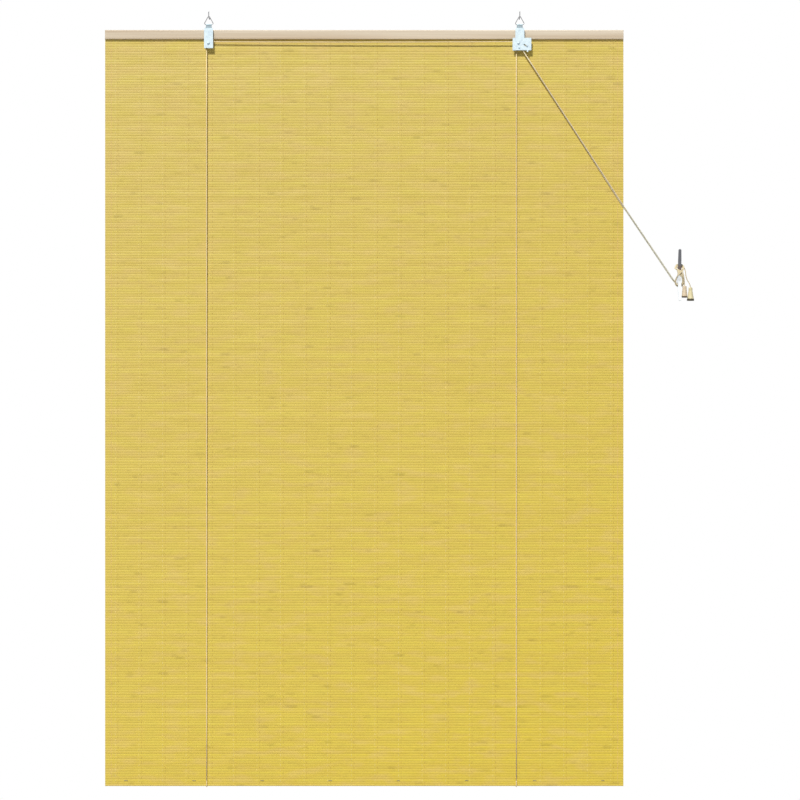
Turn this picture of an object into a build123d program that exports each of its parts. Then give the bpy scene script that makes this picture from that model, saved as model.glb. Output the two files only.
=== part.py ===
from build123d import *

import os
from math import cos, pi, radians, sin, tan

# Bamboo roll-up blind, hung on two wall hooks. Millimetres.
# X runs along the blind to the right, Y runs into the wall, Z is up.
# The origin lies on the wall, midway between the two hooks, at the height of their arms.

# Fits
running_gap = 0.1
loose_gap = 0.3
seat_gap = 0.05

# Blind as a whole
blind_width = 1500.0
hook_spacing = 900.0

# Screw hooks
hook_wire_r = 1.3
hook_screw_r = 1.5
hook_screw_length = 22.0
hook_point_length = 4.0
hook_arm_length = 26.0
hook_bend_r = 4.0
hook_tip_height = 16.0

# Hanging loops, a bent wire triangle each
loop_wire_r = 1.1
loop_y = -21.5
loop_half_angle = 29.0
loop_bend_r = 3.0
loop_base_drop = 20.2

# Headrail batten
rail_height = 27.0
rail_depth = 5.5
rail_drop = 37.0
rail_front_edge_r = 2.4
rail_back_edge_r = 1.2

# Bracket strap
strap_thickness = 1.2
bracket_depth = 12.0
strap_width = 26.0
eye_width = 17.0
neck_height = 8.0
shoulder_height = 1.6
bracket_drop = 53.0
corner_r = 2.0

# Lock bracket's wide lower plate, measured from the strap's middle
lock_plate_left = 21.0
lock_plate_right = 33.0
lock_plate_top = 23.5
lock_plate_drop = 59.3
tongue_offset = 22.0
tongue_width = 4.0
tongue_length = 5.0

# Pulleys
axle_drop = 40.5
axle_r = 2.0
axle_head_r = 3.8
axle_head_height = 1.2
pulley_r = 8.0
pulley_thickness = 5.1
pulley_hub_r = 3.6
pulley_cord_depth = 2.0
pulley_side_gap = 0.2
groove_mouth = 4.3
groove_floor = 3.4
lock_axle_offset = -4.0

# Cord guide pin and locking roller, placed from the lock pulleys' axle
guide_offset = 2.0
guide_drop = 12.5
guide_r = 2.0
roller_r = 7.0
roller_flutes = 18
flute_depth = 0.6
roller_pin_r = 1.5
roller_pin_head_r = 2.7
roller_pin_head_height = 0.9
slot_start_right = 16.3
slot_start_drop = 2.7
slot_travel = 10.4
slot_angle = 32.5

# Bracket screws
screw_r = 1.5
screw_head_r = 2.8
screw_length = 3.4
screw_drop_high = 7.0
screw_drop_low = 20.0

# Mat of bamboo slats
mat_thickness = 1.8
mat_top_drop = 4.0
slat_pitch = 7.385
slat_count = 295
groove_depth = 0.55
groove_width = 1.1
crown_width = 3.4
crown_rise = 0.2

# Bottom batten
batten_height = 30.0
batten_depth = 8.0
batten_show = 5.5
batten_edge_r = 2.0

# Staples
staple_crown = 10.0
staple_wire = 0.8
staple_leg = 6.0
cord_staple_crown = 6.0
cord_staple_leg = 9.5
rail_staple_count = 14
batten_staple_count = 8
staple_margin = 60.0
rail_staple_slat = 1
cord_staple_slat = 2
batten_staple_slat = slat_count - 2

# Cords
cord_d = 2.8
turn_rise = 16.0
cord_end_rise = 5.0
back_run_shift = -16.0
cord_stub = 4.0
gate_drop = 9.0
gate_reach = 7.3
gate_exit_drop = 1.5
strand_gap = 0.2
strand_spread = 1.0

# Wall cleat
cleat_x = 913.0
cleat_drop = 746.0
cleat_length = 150.0
cleat_width = 9.5
cleat_base_length = 62.0
cleat_base_height = 4.0
cleat_waist_length = 40.0
cleat_body_y = -14.0
cleat_face_y = -21.0
cleat_tip_y = -31.0
cleat_tip_thickness = 4.6
cleat_screw_spacing = 24.0
cleat_screw_r = 1.75
cleat_shank_r = 2.0
cleat_screw_grip = 20.0
cleat_screw_head_r = 3.4

# Winding on the cleat
winding_half_width = 16.0
winding_half_height = 29.0
winding_front_y = -27.0
winding_back_y = -6.0
winding_gap = 0.6
winding_edge_r = 3.0

# Turned tassels
tassel_hole_r = 1.9
tassel_wall = 1.7
knot_r = 3.0
tassel_a_top = (927.0, -20.5, -777.0)
tassel_a_length = 34.0
tassel_a_top_r = 6.0
tassel_a_foot_r = 8.5
tassel_b_top = (945.0, -12.6, -781.0)
tassel_b_length = 39.0
tassel_b_top_r = 5.6
tassel_b_foot_r = 10.5

# Places worked out from the sizes
hook_left_x = -hook_spacing / 2
hook_right_x = hook_spacing / 2
rail_top = -rail_drop
rail_bottom = rail_top - rail_height
mat_front = loop_y - strap_thickness
mat_back = mat_front + mat_thickness
rail_back = mat_front
rail_front = rail_back - rail_depth
front_leg_in = rail_back - bracket_depth
front_leg_out = front_leg_in - strap_thickness
rear_leg_in = rail_back - strap_thickness
eye_z = -loop_base_drop
eye_in_r = loop_wire_r + running_gap
eye_out_r = eye_in_r + strap_thickness
bracket_foot = rail_top - bracket_drop
lock_foot = rail_top - lock_plate_drop
lock_top = rail_top - lock_plate_top
axle_z = rail_top - axle_drop
lock_axle_x = hook_right_x + lock_axle_offset
guide_x = lock_axle_x + guide_offset
guide_z = axle_z - guide_drop
cord_r = cord_d / 2
pulley_cord_r = pulley_r - pulley_cord_depth
groove_floor_r = pulley_cord_r - cord_r - loose_gap
gap_middle = (front_leg_in + rear_leg_in) / 2
front_groove_y = front_leg_in + pulley_side_gap + pulley_thickness / 2
back_groove_y = rear_leg_in - pulley_side_gap - pulley_thickness / 2
slot_end_x = lock_axle_x + slot_start_right + slot_travel * cos(radians(slot_angle))
slot_end_z = axle_z - slot_start_drop - slot_travel * sin(radians(slot_angle))
mat_top = rail_top - mat_top_drop
mat_bottom = mat_top - slat_pitch * slat_count
batten_foot = mat_bottom - batten_show
batten_top = batten_foot + batten_height
batten_front = mat_back + seat_gap
batten_back = batten_front + batten_depth
cleat_z = -cleat_drop


def box(x0, x1, y0, y1, z0, z1):
    """A block between two corners."""
    block = Box(x1 - x0, y1 - y0, z1 - z0)
    return Pos((x0 + x1) / 2, (y0 + y1) / 2, (z0 + z1) / 2) * block


def rod(radius, start, end):
    """A round bar from one point to another."""
    start, end = Vector(*start), Vector(*end)
    plane = Plane(origin=start, z_dir=end - start)
    return plane * Cylinder(radius, (end - start).length, align=(Align.CENTER, Align.CENTER, Align.MIN))


def cone_between(r_start, r_end, start, end):
    """A cone from one point to another."""
    start, end = Vector(*start), Vector(*end)
    plane = Plane(origin=start, z_dir=end - start)
    form = Cone(r_start, r_end, (end - start).length, align=(Align.CENTER, Align.CENTER, Align.MIN))
    return plane * form


def side_profile(points):
    """A face in the YZ plane at x = 0 through (y, z) points."""
    return make_face(Polyline(*[(0, y, z) for y, z in points], close=True))


def front_profile(points):
    """A face in the XZ plane at y = 0 through (x, z) points."""
    return make_face(Polyline(*[(x, 0, z) for x, z in points], close=True))


def along_x(face, x0, x1):
    """A side profile drawn out from x0 to x1."""
    return extrude(Pos(x0, 0, 0) * face, amount=x1 - x0, dir=(1, 0, 0))


def along_y(face, y0, y1):
    """A front profile drawn out from y0 to y1."""
    return extrude(Pos(0, y0, 0) * face, amount=y1 - y0, dir=(0, 1, 0))


def turned(points, top):
    """A turned piece: (radius, drop) points spun about the vertical through its top."""
    face = make_face(Polyline(*[(r, 0, -drop) for r, drop in points], close=True))
    return Pos(*top) * revolve(face, Axis.Z)


def turned_across(points, x, z):
    """A piece turned about a line along Y: (radius, y) points."""
    face = make_face(Polyline(*[(r, y, 0) for r, y in points], close=True))
    return Pos(x, 0, z) * revolve(face, Axis.Y)


def cord_radii(points):
    """The arc radius at each corner of a cord's route."""
    corners = []
    for before, here, after in zip(points, points[1:], points[2:]):
        run_in = Vector(*here) - Vector(*before)
        run_out = Vector(*after) - Vector(*here)
        turn = radians(run_in.get_angle(run_out))
        corners.append(0.45 * min(run_in.length, run_out.length) / tan(turn / 2))
    return corners


def cord_tube(name, points, radii=None):
    """A round cord along straight runs joined by tangent arcs."""
    radii = radii or cord_radii(points)
    path = FilletPolyline(*points, radius=radii) if radii else Line(*points)
    start = Plane(origin=path @ 0, z_dir=path % 0)
    tube = sweep(start * Circle(cord_r), path=path)
    share = tube.volume / (pi * cord_r**2 * path.length)
    sizes = " ".join(f"{radius:.0f}" for radius in radii)
    print(f"{name}: length {path.length:.0f}, volume share {share:.4f}, radii {sizes}")
    return tube


def screw_hook(x):
    """A square-bend hook: screw point, screw, arm and upturned tip."""
    path = FilletPolyline(
        (x, 0, 0), (x, -hook_arm_length, 0), (x, -hook_arm_length, hook_tip_height), radius=hook_bend_r
    )
    wire = sweep(Plane(origin=path @ 0, z_dir=path % 0) * Circle(hook_wire_r), path=path)
    tip = Pos(x, -hook_arm_length, hook_tip_height) * Sphere(hook_wire_r)
    screw = rod(hook_screw_r, (x, 0, 0), (x, hook_screw_length - hook_point_length, 0))
    point = cone_between(
        hook_screw_r, 0.3, (x, hook_screw_length - hook_point_length, 0), (x, hook_screw_length, 0)
    )
    return wire + tip + screw + point


def hanging_loop(x):
    """A closed wire triangle whose top bend sits on the hook's arm."""
    half = radians(loop_half_angle)
    bend_z = hook_wire_r + loop_wire_r + seat_gap - loop_bend_r
    top = bend_z + loop_bend_r / sin(half)
    foot = eye_z
    reach = (top - foot) * tan(half)
    corner_half = (pi / 2 - half) / 2
    setback = loop_bend_r / tan(corner_half)
    side_end = loop_bend_r / tan(half)
    left_foot = Vector(x - reach, loop_y, foot)
    right_foot = Vector(x + reach, loop_y, foot)
    apex = Vector(x, loop_y, top)
    up_left = (apex - left_foot).normalized()
    down_right = (right_foot - apex).normalized()
    base = Line(left_foot + Vector(setback, 0, 0), right_foot - Vector(setback, 0, 0))
    right_arc = TangentArc(base @ 1, right_foot - down_right * setback, tangent=base % 1)
    right_side = Line(right_arc @ 1, apex + down_right * side_end)
    top_arc = TangentArc(right_side @ 1, apex - up_left * side_end, tangent=right_side % 1)
    left_side = Line(top_arc @ 1, left_foot + up_left * setback)
    left_arc = TangentArc(left_side @ 1, base @ 0, tangent=left_side % 1)
    sides = (base, right_arc, right_side, top_arc, left_side, left_arc)
    path = Wire([side.edge() for side in sides])
    section = Plane(origin=base @ 0, z_dir=base % 0) * Circle(loop_wire_r)
    return sweep(section, path=path)


def strap_side():
    """The folded strap seen from its end: two legs, a roof, a neck and a rolled eye."""
    neck_top = eye_z - eye_in_r
    neck_foot = rail_top + neck_height
    shoulder = rail_top + shoulder_height
    t = strap_thickness
    neck = side_profile([
        (loop_y - t, neck_foot),
        (loop_y + t, neck_foot),
        (loop_y + t, neck_top),
        (loop_y - t, neck_top),
    ])
    front = side_profile([
        (front_leg_out, rail_bottom),
        (front_leg_in, rail_bottom),
        (front_leg_in, rail_top),
        (front_leg_in + t, shoulder),
        (loop_y, neck_foot),
        (loop_y - t, neck_foot + t),
        (front_leg_out, shoulder + t),
    ])
    rear = side_profile([
        (rear_leg_in, rail_bottom),
        (rail_back, rail_bottom),
        (rail_back, shoulder),
        (loop_y + t, neck_foot),
        (loop_y + t, neck_foot + t),
        (loop_y, neck_foot + t),
        (rear_leg_in, shoulder),
    ])
    roll = Plane.YZ * (Pos(loop_y, eye_z) * (Circle(eye_out_r) - Circle(eye_in_r)))
    return neck, front, rear, roll


def strap_front(x, foot):
    """The strap seen from the front, narrowed at its eye."""
    half, half_eye = strap_width / 2, eye_width / 2
    shoulder = rail_top + shoulder_height
    return front_profile([
        (x - half, foot),
        (x + half, foot),
        (x + half, shoulder),
        (x + half_eye, rail_top + neck_height),
        (x + half_eye, eye_z + eye_out_r),
        (x - half_eye, eye_z + eye_out_r),
        (x - half_eye, rail_top + neck_height),
        (x - half, shoulder),
    ])


def saddle(x):
    """The part of a bracket at and above the headrail."""
    half = strap_width / 2
    neck, front, rear, roll = strap_side()
    block = along_x(neck, x - half, x + half)
    block += along_x(front, x - half, x + half)
    block += along_x(rear, x - half, x + half)
    block += along_x(roll, x - half, x + half)
    block -= rod(eye_in_r, (x - half, loop_y, eye_z), (x + half, loop_y, eye_z))
    return block & along_y(strap_front(x, rail_bottom), front_leg_out, loop_y + eye_out_r)


def screw_places(x):
    """Where a bracket's two screws go in, as (x, z)."""
    return [(x, rail_top - screw_drop_high), (x, rail_top - screw_drop_low)]


def countersunk_screw(x, z, grow=0.0):
    """A flat-head screw driven forward from the rear leg's back face."""
    head_end = rail_back - strap_thickness
    shank_end = rail_back - screw_length
    head = cone_between(screw_head_r + grow, screw_r + grow, (x, rail_back, z), (x, head_end, z))
    shank = rod(screw_r + grow, (x, head_end, z), (x, shank_end, z))
    point = cone_between(screw_r + grow, 0.3, (x, shank_end, z), (x, shank_end - 1.5, z))
    return head + shank + point


def leg_plate(outline, y0, y1, corners):
    """A flat leg with its lower corners rounded."""
    plate = along_y(front_profile(outline), y0, y1)
    rounded = [
        edge
        for edge in plate.edges().filter_by(Axis.Y)
        for x, z in corners
        if abs(edge.center().X - x) < 0.01 and abs(edge.center().Z - z) < 0.01
    ]
    return fillet(rounded, corner_r)


def bracket_left():
    """The left bracket: both legs carry the pulley's rivet."""
    x = hook_left_x
    half = strap_width / 2
    corners = [(x - half, bracket_foot), (x + half, bracket_foot)]
    outline = corners + [(x + half, rail_bottom), (x - half, rail_bottom)]
    bracket = saddle(x)
    bracket += leg_plate(outline, front_leg_out, front_leg_in, corners)
    bracket += leg_plate(outline, rear_leg_in, rail_back, corners)
    bracket -= axle_form(x, seat_gap)
    for sx, sz in screw_places(x):
        bracket -= countersunk_screw(sx, sz, seat_gap)
    return bracket


def lock_outline(x, top):
    """The wide lower plate of the lock bracket, with its tongue."""
    left, right = x - lock_plate_left, x + lock_plate_right
    tongue_left = x + tongue_offset - tongue_width / 2
    tongue_right = tongue_left + tongue_width
    return [
        (left, lock_foot),
        (tongue_left, lock_foot),
        (tongue_left, lock_foot - tongue_length),
        (tongue_right, lock_foot - tongue_length),
        (tongue_right, lock_foot),
        (right, lock_foot),
        (right, top),
        (left, top),
    ]


def slot_form(clearance, y0, y1):
    """The slanted slot's full shape, or the space that the roller's pin sweeps."""
    start = (lock_axle_x + slot_start_right, axle_z - slot_start_drop)
    radius = roller_pin_r + clearance
    form = rod(radius, (start[0], y0, start[1]), (start[0], y1, start[1]))
    form += rod(radius, (slot_end_x, y0, slot_end_z), (slot_end_x, y1, slot_end_z))
    middle = Pos((start[0] + slot_end_x) / 2, (y0 + y1) / 2, (start[1] + slot_end_z) / 2)
    return form + middle * Rot(0, slot_angle, 0) * Box(slot_travel, y1 - y0, 2 * radius)


def bracket_lock():
    """The right bracket: a wide plate on each leg holds pulleys, guide pin and roller."""
    x = hook_right_x
    half = strap_width / 2
    bracket = saddle(x)
    front = (lock_top, front_leg_out, front_leg_in)
    rear = (rail_bottom - loose_gap, rear_leg_in, rail_back)
    for top, y0, y1 in (front, rear):
        outline = lock_outline(x, top)
        corners = [
            (x - lock_plate_left, lock_foot),
            (x + lock_plate_right, lock_foot),
            (x + lock_plate_right, top),
            (x - lock_plate_left, top),
        ]
        if y0 == rear_leg_in:
            outline = [(px, pz) for px, pz in outline if pz >= lock_foot]
        bracket += leg_plate(outline, y0, y1, corners)
        bracket += box(x - half, x + half, y0, y1, rail_bottom - strap_thickness, rail_bottom)
    bracket -= axle_form(lock_axle_x, seat_gap)
    bracket -= guide_form(seat_gap)
    bracket -= slot_form(loose_gap, front_leg_out - 1, front_leg_in + 1)
    bracket -= slot_form(loose_gap, rear_leg_in - 1, rail_back + 1)
    for sx, sz in screw_places(x):
        bracket -= countersunk_screw(sx, sz, seat_gap)
    return bracket


def axle_form(x, grow=0.0):
    """A rivet through both legs: domed head in front, flush peened end behind."""
    shank = rod(axle_r + grow, (x, front_leg_out - grow, axle_z), (x, rail_back, axle_z))
    flare = cone_between(
        axle_r + grow, axle_r + 0.8 + grow, (x, rail_back - 0.8, axle_z), (x, rail_back, axle_z)
    )
    return shank + flare


def rivet_head(x, z, radius, height, y):
    """A low domed head standing forward of y."""
    crown = (radius**2 + height**2) / (2 * height)
    ball = Pos(x, y - height + crown, z) * Sphere(crown)
    return ball & rod(radius, (x, y - height - 0.1, z), (x, y, z))


def pulley_rivet(x):
    """The rivet that a pulley turns on."""
    return axle_form(x) + rivet_head(x, axle_z, axle_head_r, axle_head_height, front_leg_out)


def guide_form(grow=0.0):
    """The guide pin's round bar through both legs."""
    return rod(guide_r + grow, (guide_x, front_leg_out, guide_z), (guide_x, rail_back, guide_z))


def guide_pin():
    """The fixed pin that the cords bear on."""
    return guide_form() + rivet_head(guide_x, guide_z, guide_r + 0.9, 0.8, front_leg_out)


def pulley(x, middle, hub_length):
    """A grooved pulley on a hub as long as the room between its neighbours."""
    half = pulley_thickness / 2
    bore = axle_r + running_gap
    rim = turned_across(
        [
            (bore, middle - half),
            (pulley_r - 0.3, middle - half),
            (pulley_r, middle - half + 0.2),
            (pulley_r, middle - groove_mouth / 2),
            (groove_floor_r, middle - groove_floor / 2),
            (groove_floor_r, middle + groove_floor / 2),
            (pulley_r, middle + groove_mouth / 2),
            (pulley_r, middle + half - 0.2),
            (pulley_r - 0.3, middle + half),
            (bore, middle + half),
        ],
        x,
        axle_z,
    )
    if hub_length <= pulley_thickness:
        return rim
    y0, y1 = middle - hub_length / 2, middle + hub_length / 2
    hub = turned_across([(bore, y0), (pulley_hub_r, y0), (pulley_hub_r, y1), (bore, y1)], x, axle_z)
    return rim + hub


def lock_roller():
    """A fluted roller that jams the cords."""
    bore = roller_pin_r + running_gap
    y0, y1 = front_leg_in + loose_gap, rear_leg_in - loose_gap
    barrel = rod(roller_r, (slot_end_x, y0, slot_end_z), (slot_end_x, y1, slot_end_z))
    barrel -= rod(bore, (slot_end_x, y0, slot_end_z), (slot_end_x, y1, slot_end_z))
    cutter = Pos(roller_r + 0.3, 0, 0) * Rot(0, 45, 0) * Box(2 * flute_depth, y1 - y0 + 1, 2 * flute_depth)
    turn = 360 / roller_flutes
    flutes = [Rot(0, turn * n, 0) * cutter for n in range(roller_flutes)]
    place = Pos(slot_end_x, (y0 + y1) / 2, slot_end_z)
    return barrel - [place * flute for flute in flutes]


def roller_pin():
    """The pin that carries the roller along the slot."""
    y0, y1 = front_leg_out - running_gap, rail_back - running_gap
    shank = rod(roller_pin_r, (slot_end_x, y0, slot_end_z), (slot_end_x, y1, slot_end_z))
    head = rivet_head(slot_end_x, slot_end_z, roller_pin_head_r, roller_pin_head_height, y0)
    return shank + head


def headrail():
    """The batten, with a shallow recess behind for each bracket's rear leg."""
    half = blind_width / 2
    batten = box(-half, half, rail_front, rail_back, rail_bottom, rail_top)
    long_edges = batten.edges().filter_by(Axis.X).sort_by(Axis.Y)
    batten = fillet(long_edges[:2], rail_front_edge_r)
    batten = fillet(batten.edges().filter_by(Axis.X).sort_by(Axis.Y)[-2:], rail_back_edge_r)
    leg = strap_width / 2 + seat_gap
    for x in (hook_left_x, hook_right_x):
        batten -= box(x - leg, x + leg, rear_leg_in, rail_back + 1, rail_bottom - 1, rail_top + 1)
        for sx, sz in screw_places(x):
            batten -= countersunk_screw(sx, sz, seat_gap)
    return batten


def bamboo_mat():
    """One wall of slats: a groove between each two, a low crown on each."""
    front, back = [], []
    for n in range(slat_count):
        top = mat_top - n * slat_pitch
        edge = groove_width / 2
        side = (slat_pitch - crown_width) / 2
        heights = (top, top - edge, top - side, top - slat_pitch + side, top - slat_pitch + edge)
        depths = (groove_depth, crown_rise, 0.0, 0.0, crown_rise)
        front += [(mat_front + depth, z) for depth, z in zip(depths, heights)]
        back += [(mat_back - groove_depth, top), (mat_back, top - edge), (mat_back, top - slat_pitch + edge)]
    front.append((mat_front + groove_depth, mat_bottom))
    back.append((mat_back - groove_depth, mat_bottom))
    wall = along_x(side_profile(front + back[::-1]), -blind_width / 2, blind_width / 2)
    half = staple_wire / 2 + loose_gap
    z = slat_middle(batten_staple_slat)
    holes = [
        box(leg - half, leg + half, mat_front - 1, mat_back + 1, z - half, z + half)
        for x in staple_places(batten_staple_count)
        for leg in staple_legs(x, staple_crown)
    ]
    return wall - holes


def slat_middle(number):
    """The height of a slat's middle, counted from the top."""
    return mat_top - (number + 0.5) * slat_pitch


def staple_places(count):
    """Evenly spaced places along the blind."""
    first = -blind_width / 2 + staple_margin
    step = (blind_width - 2 * staple_margin) / (count - 1)
    return [first + n * step for n in range(count)]


def staple_legs(x, crown):
    """The two legs of a staple centred on x."""
    reach = (crown - staple_wire) / 2
    return (x - reach, x + reach)


def staple(x, z, seat_y, into, crown=staple_crown, leg_length=staple_leg):
    """A wire staple whose crown lies against seat_y and whose legs point along into (1 or -1)."""
    half = staple_wire / 2
    back_y = seat_y - into * staple_wire
    tip_y = seat_y + into * leg_length
    form = box(x - crown / 2, x + crown / 2, min(seat_y, back_y), max(seat_y, back_y), z - half, z + half)
    for leg in staple_legs(x, crown):
        form += box(leg - half, leg + half, min(seat_y, tip_y), max(seat_y, tip_y), z - half, z + half)
    return form


def bottom_batten():
    """The batten behind the mat's lower edge."""
    half = blind_width / 2
    batten = box(-half, half, batten_front, batten_back, batten_foot, batten_top)
    return fillet(batten.edges().filter_by(Axis.X), batten_edge_r)


def cleat_side():
    """The cleat seen from its side: foot on the wall, waist, and horns that rise to their tips."""
    half = cleat_length / 2
    waist = cleat_waist_length / 2
    foot = cleat_base_length / 2
    upper = [
        (0, foot),
        (-cleat_base_height, foot),
        (-cleat_base_height - 2.5, waist + 3.5),
        (cleat_body_y + 2.5, waist),
        (cleat_body_y - 1.5, waist + 8),
        (cleat_tip_y + cleat_tip_thickness, half - 3),
        (cleat_tip_y + cleat_tip_thickness / 2, half),
        (cleat_tip_y, half - 2.5),
        (cleat_face_y - 3.2, half * 0.5),
        (cleat_face_y, waist * 0.9),
    ]
    outline = upper + [(y, -rise) for y, rise in reversed(upper)]
    return side_profile([(y, cleat_z + rise) for y, rise in outline])


def cleat():
    """The two-horned cleat, narrowed towards its tips, with two countersunk holes."""
    half = cleat_length / 2
    width = cleat_width / 2
    block = along_x(cleat_side(), cleat_x - width, cleat_x + width)
    quarter = [(width, half * 0.6), (width * 0.86, half - 2.0), (width * 0.4, half)]
    upper = quarter + [(-x, rise) for x, rise in reversed(quarter)]
    plan = upper + [(-x, -rise) for x, rise in upper]
    block &= along_y(front_profile([(cleat_x + x, cleat_z + rise) for x, rise in plan]), cleat_tip_y, 0)
    for rise in (-cleat_screw_spacing / 2, cleat_screw_spacing / 2):
        block -= cleat_screw(cleat_z + rise, seat_gap)
    return block


def cleat_screw(z, grow=0.0):
    """A countersunk screw through the cleat's body into the wall."""
    head_depth = cleat_screw_head_r - cleat_shank_r
    face = cleat_face_y
    head = cone_between(
        cleat_screw_head_r + grow, cleat_shank_r + grow, (cleat_x, face, z), (cleat_x, face + head_depth, z)
    )
    shank = rod(cleat_shank_r + grow, (cleat_x, face + head_depth, z), (cleat_x, grow, z))
    if grow:
        return head + shank + rod(cleat_screw_head_r + grow, (cleat_x, face - 3, z), (cleat_x, face, z))
    thread = rod(cleat_screw_r, (cleat_x, 0, z), (cleat_x, cleat_screw_grip, z))
    point = cone_between(
        cleat_screw_r, 0.3, (cleat_x, cleat_screw_grip, z), (cleat_x, cleat_screw_grip + 4, z)
    )
    return head + shank + thread + point


def cleat_winding():
    """The outer shape of the cord wound in a figure of eight round the cleat."""
    outline = Plane.XZ * Ellipse(winding_half_width, winding_half_height)
    block = extrude(outline, amount=winding_back_y - winding_front_y, dir=(0, -1, 0))
    block = fillet(block.edges(), winding_edge_r)
    block = Pos(cleat_x, winding_back_y, cleat_z) * block
    half = cleat_width / 2 + winding_gap
    room = offset(cleat_side(), winding_gap, kind=Kind.INTERSECTION)
    return block - along_x(room, cleat_x - half, cleat_x + half)


def tassel(top, length, top_r, foot_r):
    """A turned wooden bell with a hollow foot, hung on its cord by a knot inside."""
    wall = tassel_wall
    return turned(
        [
            (tassel_hole_r, 0),
            (top_r * 0.7, 0),
            (top_r * 0.95, 1.0),
            (top_r, 2.4),
            (top_r * 1.02, length * 0.25),
            (top_r * 0.5 + foot_r * 0.5, length * 0.62),
            (foot_r, length * 0.92),
            (foot_r, length - 1.2),
            (foot_r - 0.8, length),
            (foot_r - wall, length),
            (top_r * 0.5 + foot_r * 0.5 - wall, length * 0.66),
            (top_r - wall + 0.2, length * 0.42),
            (tassel_hole_r, length * 0.36),
        ],
        top,
    )


def knot_drop(length):
    """How far a stopper knot's middle hangs below the bell's top."""
    return length * 0.42 + knot_r * 0.3


def knot(top, length):
    """The stopper knot under the bell's shoulder."""
    x, y, z = top
    return Pos(x, y, z - knot_drop(length)) * Sphere(knot_r)


def tail_end(top, length):
    """Where a cord's tail enters its knot."""
    x, y, z = top
    return (x, y, z - knot_drop(length) + knot_r + seat_gap)


# Cord places: the routes' points are chosen by hand along what the photograph shows.
turn_r = batten_edge_r + loose_gap + cord_r
turn_foot = batten_foot - loose_gap - cord_r
turn_front = mat_front - loose_gap - cord_r
turn_back = batten_back + loose_gap + cord_r
turn_top = batten_foot + turn_rise
run_foot = turn_top + loose_gap
back_top_y = mat_back + loose_gap + cord_r
back_top = slat_middle(cord_staple_slat) + cord_end_rise
left_fall_x = hook_left_x - pulley_cord_r
right_fall_x = lock_axle_x - pulley_cord_r
cord_top_z = axle_z + pulley_cord_r
stub_z = axle_z - cord_stub
gate_x = lock_axle_x + pulley_cord_r
gate_z = axle_z - gate_drop
exit_x = gate_x + gate_reach
exit_z = lock_foot - gate_exit_drop
pulley_turn_r = pulley_cord_r - 0.1
mat_edge_x = blind_width / 2
mat_edge_z = -547.6
edge_strand_y = mat_front - loose_gap - cord_r
edge_turn_r = 60.0

headrail_cord_points = [
    (left_fall_x, gap_middle, stub_z),
    (left_fall_x, gap_middle, cord_top_z),
    (10.0, (gap_middle + front_groove_y) / 2, cord_top_z - 1.5),
    (gate_x, front_groove_y, cord_top_z),
    (gate_x, front_groove_y, gate_z),
    (exit_x, front_groove_y, exit_z),
]
lock_cord_points = [
    (right_fall_x, back_groove_y, stub_z),
    (right_fall_x, back_groove_y, cord_top_z),
    (gate_x, back_groove_y, cord_top_z),
    (gate_x, back_groove_y, gate_z),
    (exit_x, back_groove_y, exit_z),
]
pull_cord_a_points = [
    (exit_x + 0.1, front_groove_y, exit_z - 0.16),
    (mat_edge_x + strand_spread, edge_strand_y - cord_d - strand_gap, mat_edge_z + strand_spread / 2),
    (897.3 + strand_spread, -15.2, -763.5 + strand_spread / 2),
]
pull_cord_b_points = [
    (exit_x + 0.1, back_groove_y, exit_z - 0.16),
    (mat_edge_x - strand_spread, edge_strand_y, mat_edge_z - strand_spread / 2),
    (898.6 - strand_spread, -12.2, -766.4 - strand_spread / 2),
]
tail_cord_a_points = [(926.8, -20.5, -765.2), tail_end(tassel_a_top, tassel_a_length)]
tail_cord_b_points = [
    (931.2, -16.0, -748.0),
    (936.0, -14.8, -760.0),
    (943.5, -13.2, -770.0),
    (945.0, -12.6, -779.5),
    tail_end(tassel_b_top, tassel_b_length),
]


def front_run(x, top_y):
    """A lift cord's run down the mat's face, as two points."""
    return [(x, top_y, stub_z - seat_gap), (x, turn_front, run_foot)]


def back_run(x):
    """A lift cord's run up the mat's back to its staple, as two points."""
    return [(x, turn_back, run_foot), (x + back_run_shift, back_top_y, back_top)]


def turn_under(x):
    """A lift cord's turn under the bottom batten."""
    return [
        (x, turn_front, turn_top),
        (x, turn_front, turn_foot),
        (x, turn_back, turn_foot),
        (x, turn_back, turn_top),
    ]


def cord_nodes():
    """Every cord of the blind by name."""
    turns = [turn_r, turn_r]
    gate_r = cord_radii(lock_cord_points)[-1]
    sag_r = cord_radii(headrail_cord_points)[1]
    return {
        "lift_cord_left_front": cord_tube("lift_cord_left_front", front_run(left_fall_x, gap_middle)),
        "lift_cord_right_front": cord_tube("lift_cord_right_front", front_run(right_fall_x, back_groove_y)),
        "lift_cord_left_back": cord_tube("lift_cord_left_back", back_run(left_fall_x)),
        "lift_cord_right_back": cord_tube("lift_cord_right_back", back_run(right_fall_x)),
        "lift_cord_left_turn": cord_tube("lift_cord_left_turn", turn_under(left_fall_x), turns),
        "lift_cord_right_turn": cord_tube("lift_cord_right_turn", turn_under(right_fall_x), turns),
        "headrail_cord": cord_tube(
            "headrail_cord", headrail_cord_points, [pulley_turn_r, sag_r, pulley_turn_r, gate_r]
        ),
        "lock_cord": cord_tube("lock_cord", lock_cord_points, [pulley_turn_r, pulley_turn_r, gate_r]),
        "pull_cord_a": cord_tube("pull_cord_a", pull_cord_a_points, [edge_turn_r]),
        "pull_cord_b": cord_tube("pull_cord_b", pull_cord_b_points, [edge_turn_r]),
        "tail_cord_a": cord_tube("tail_cord_a", tail_cord_a_points),
        "tail_cord_b": cord_tube("tail_cord_b", tail_cord_b_points),
    }


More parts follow.
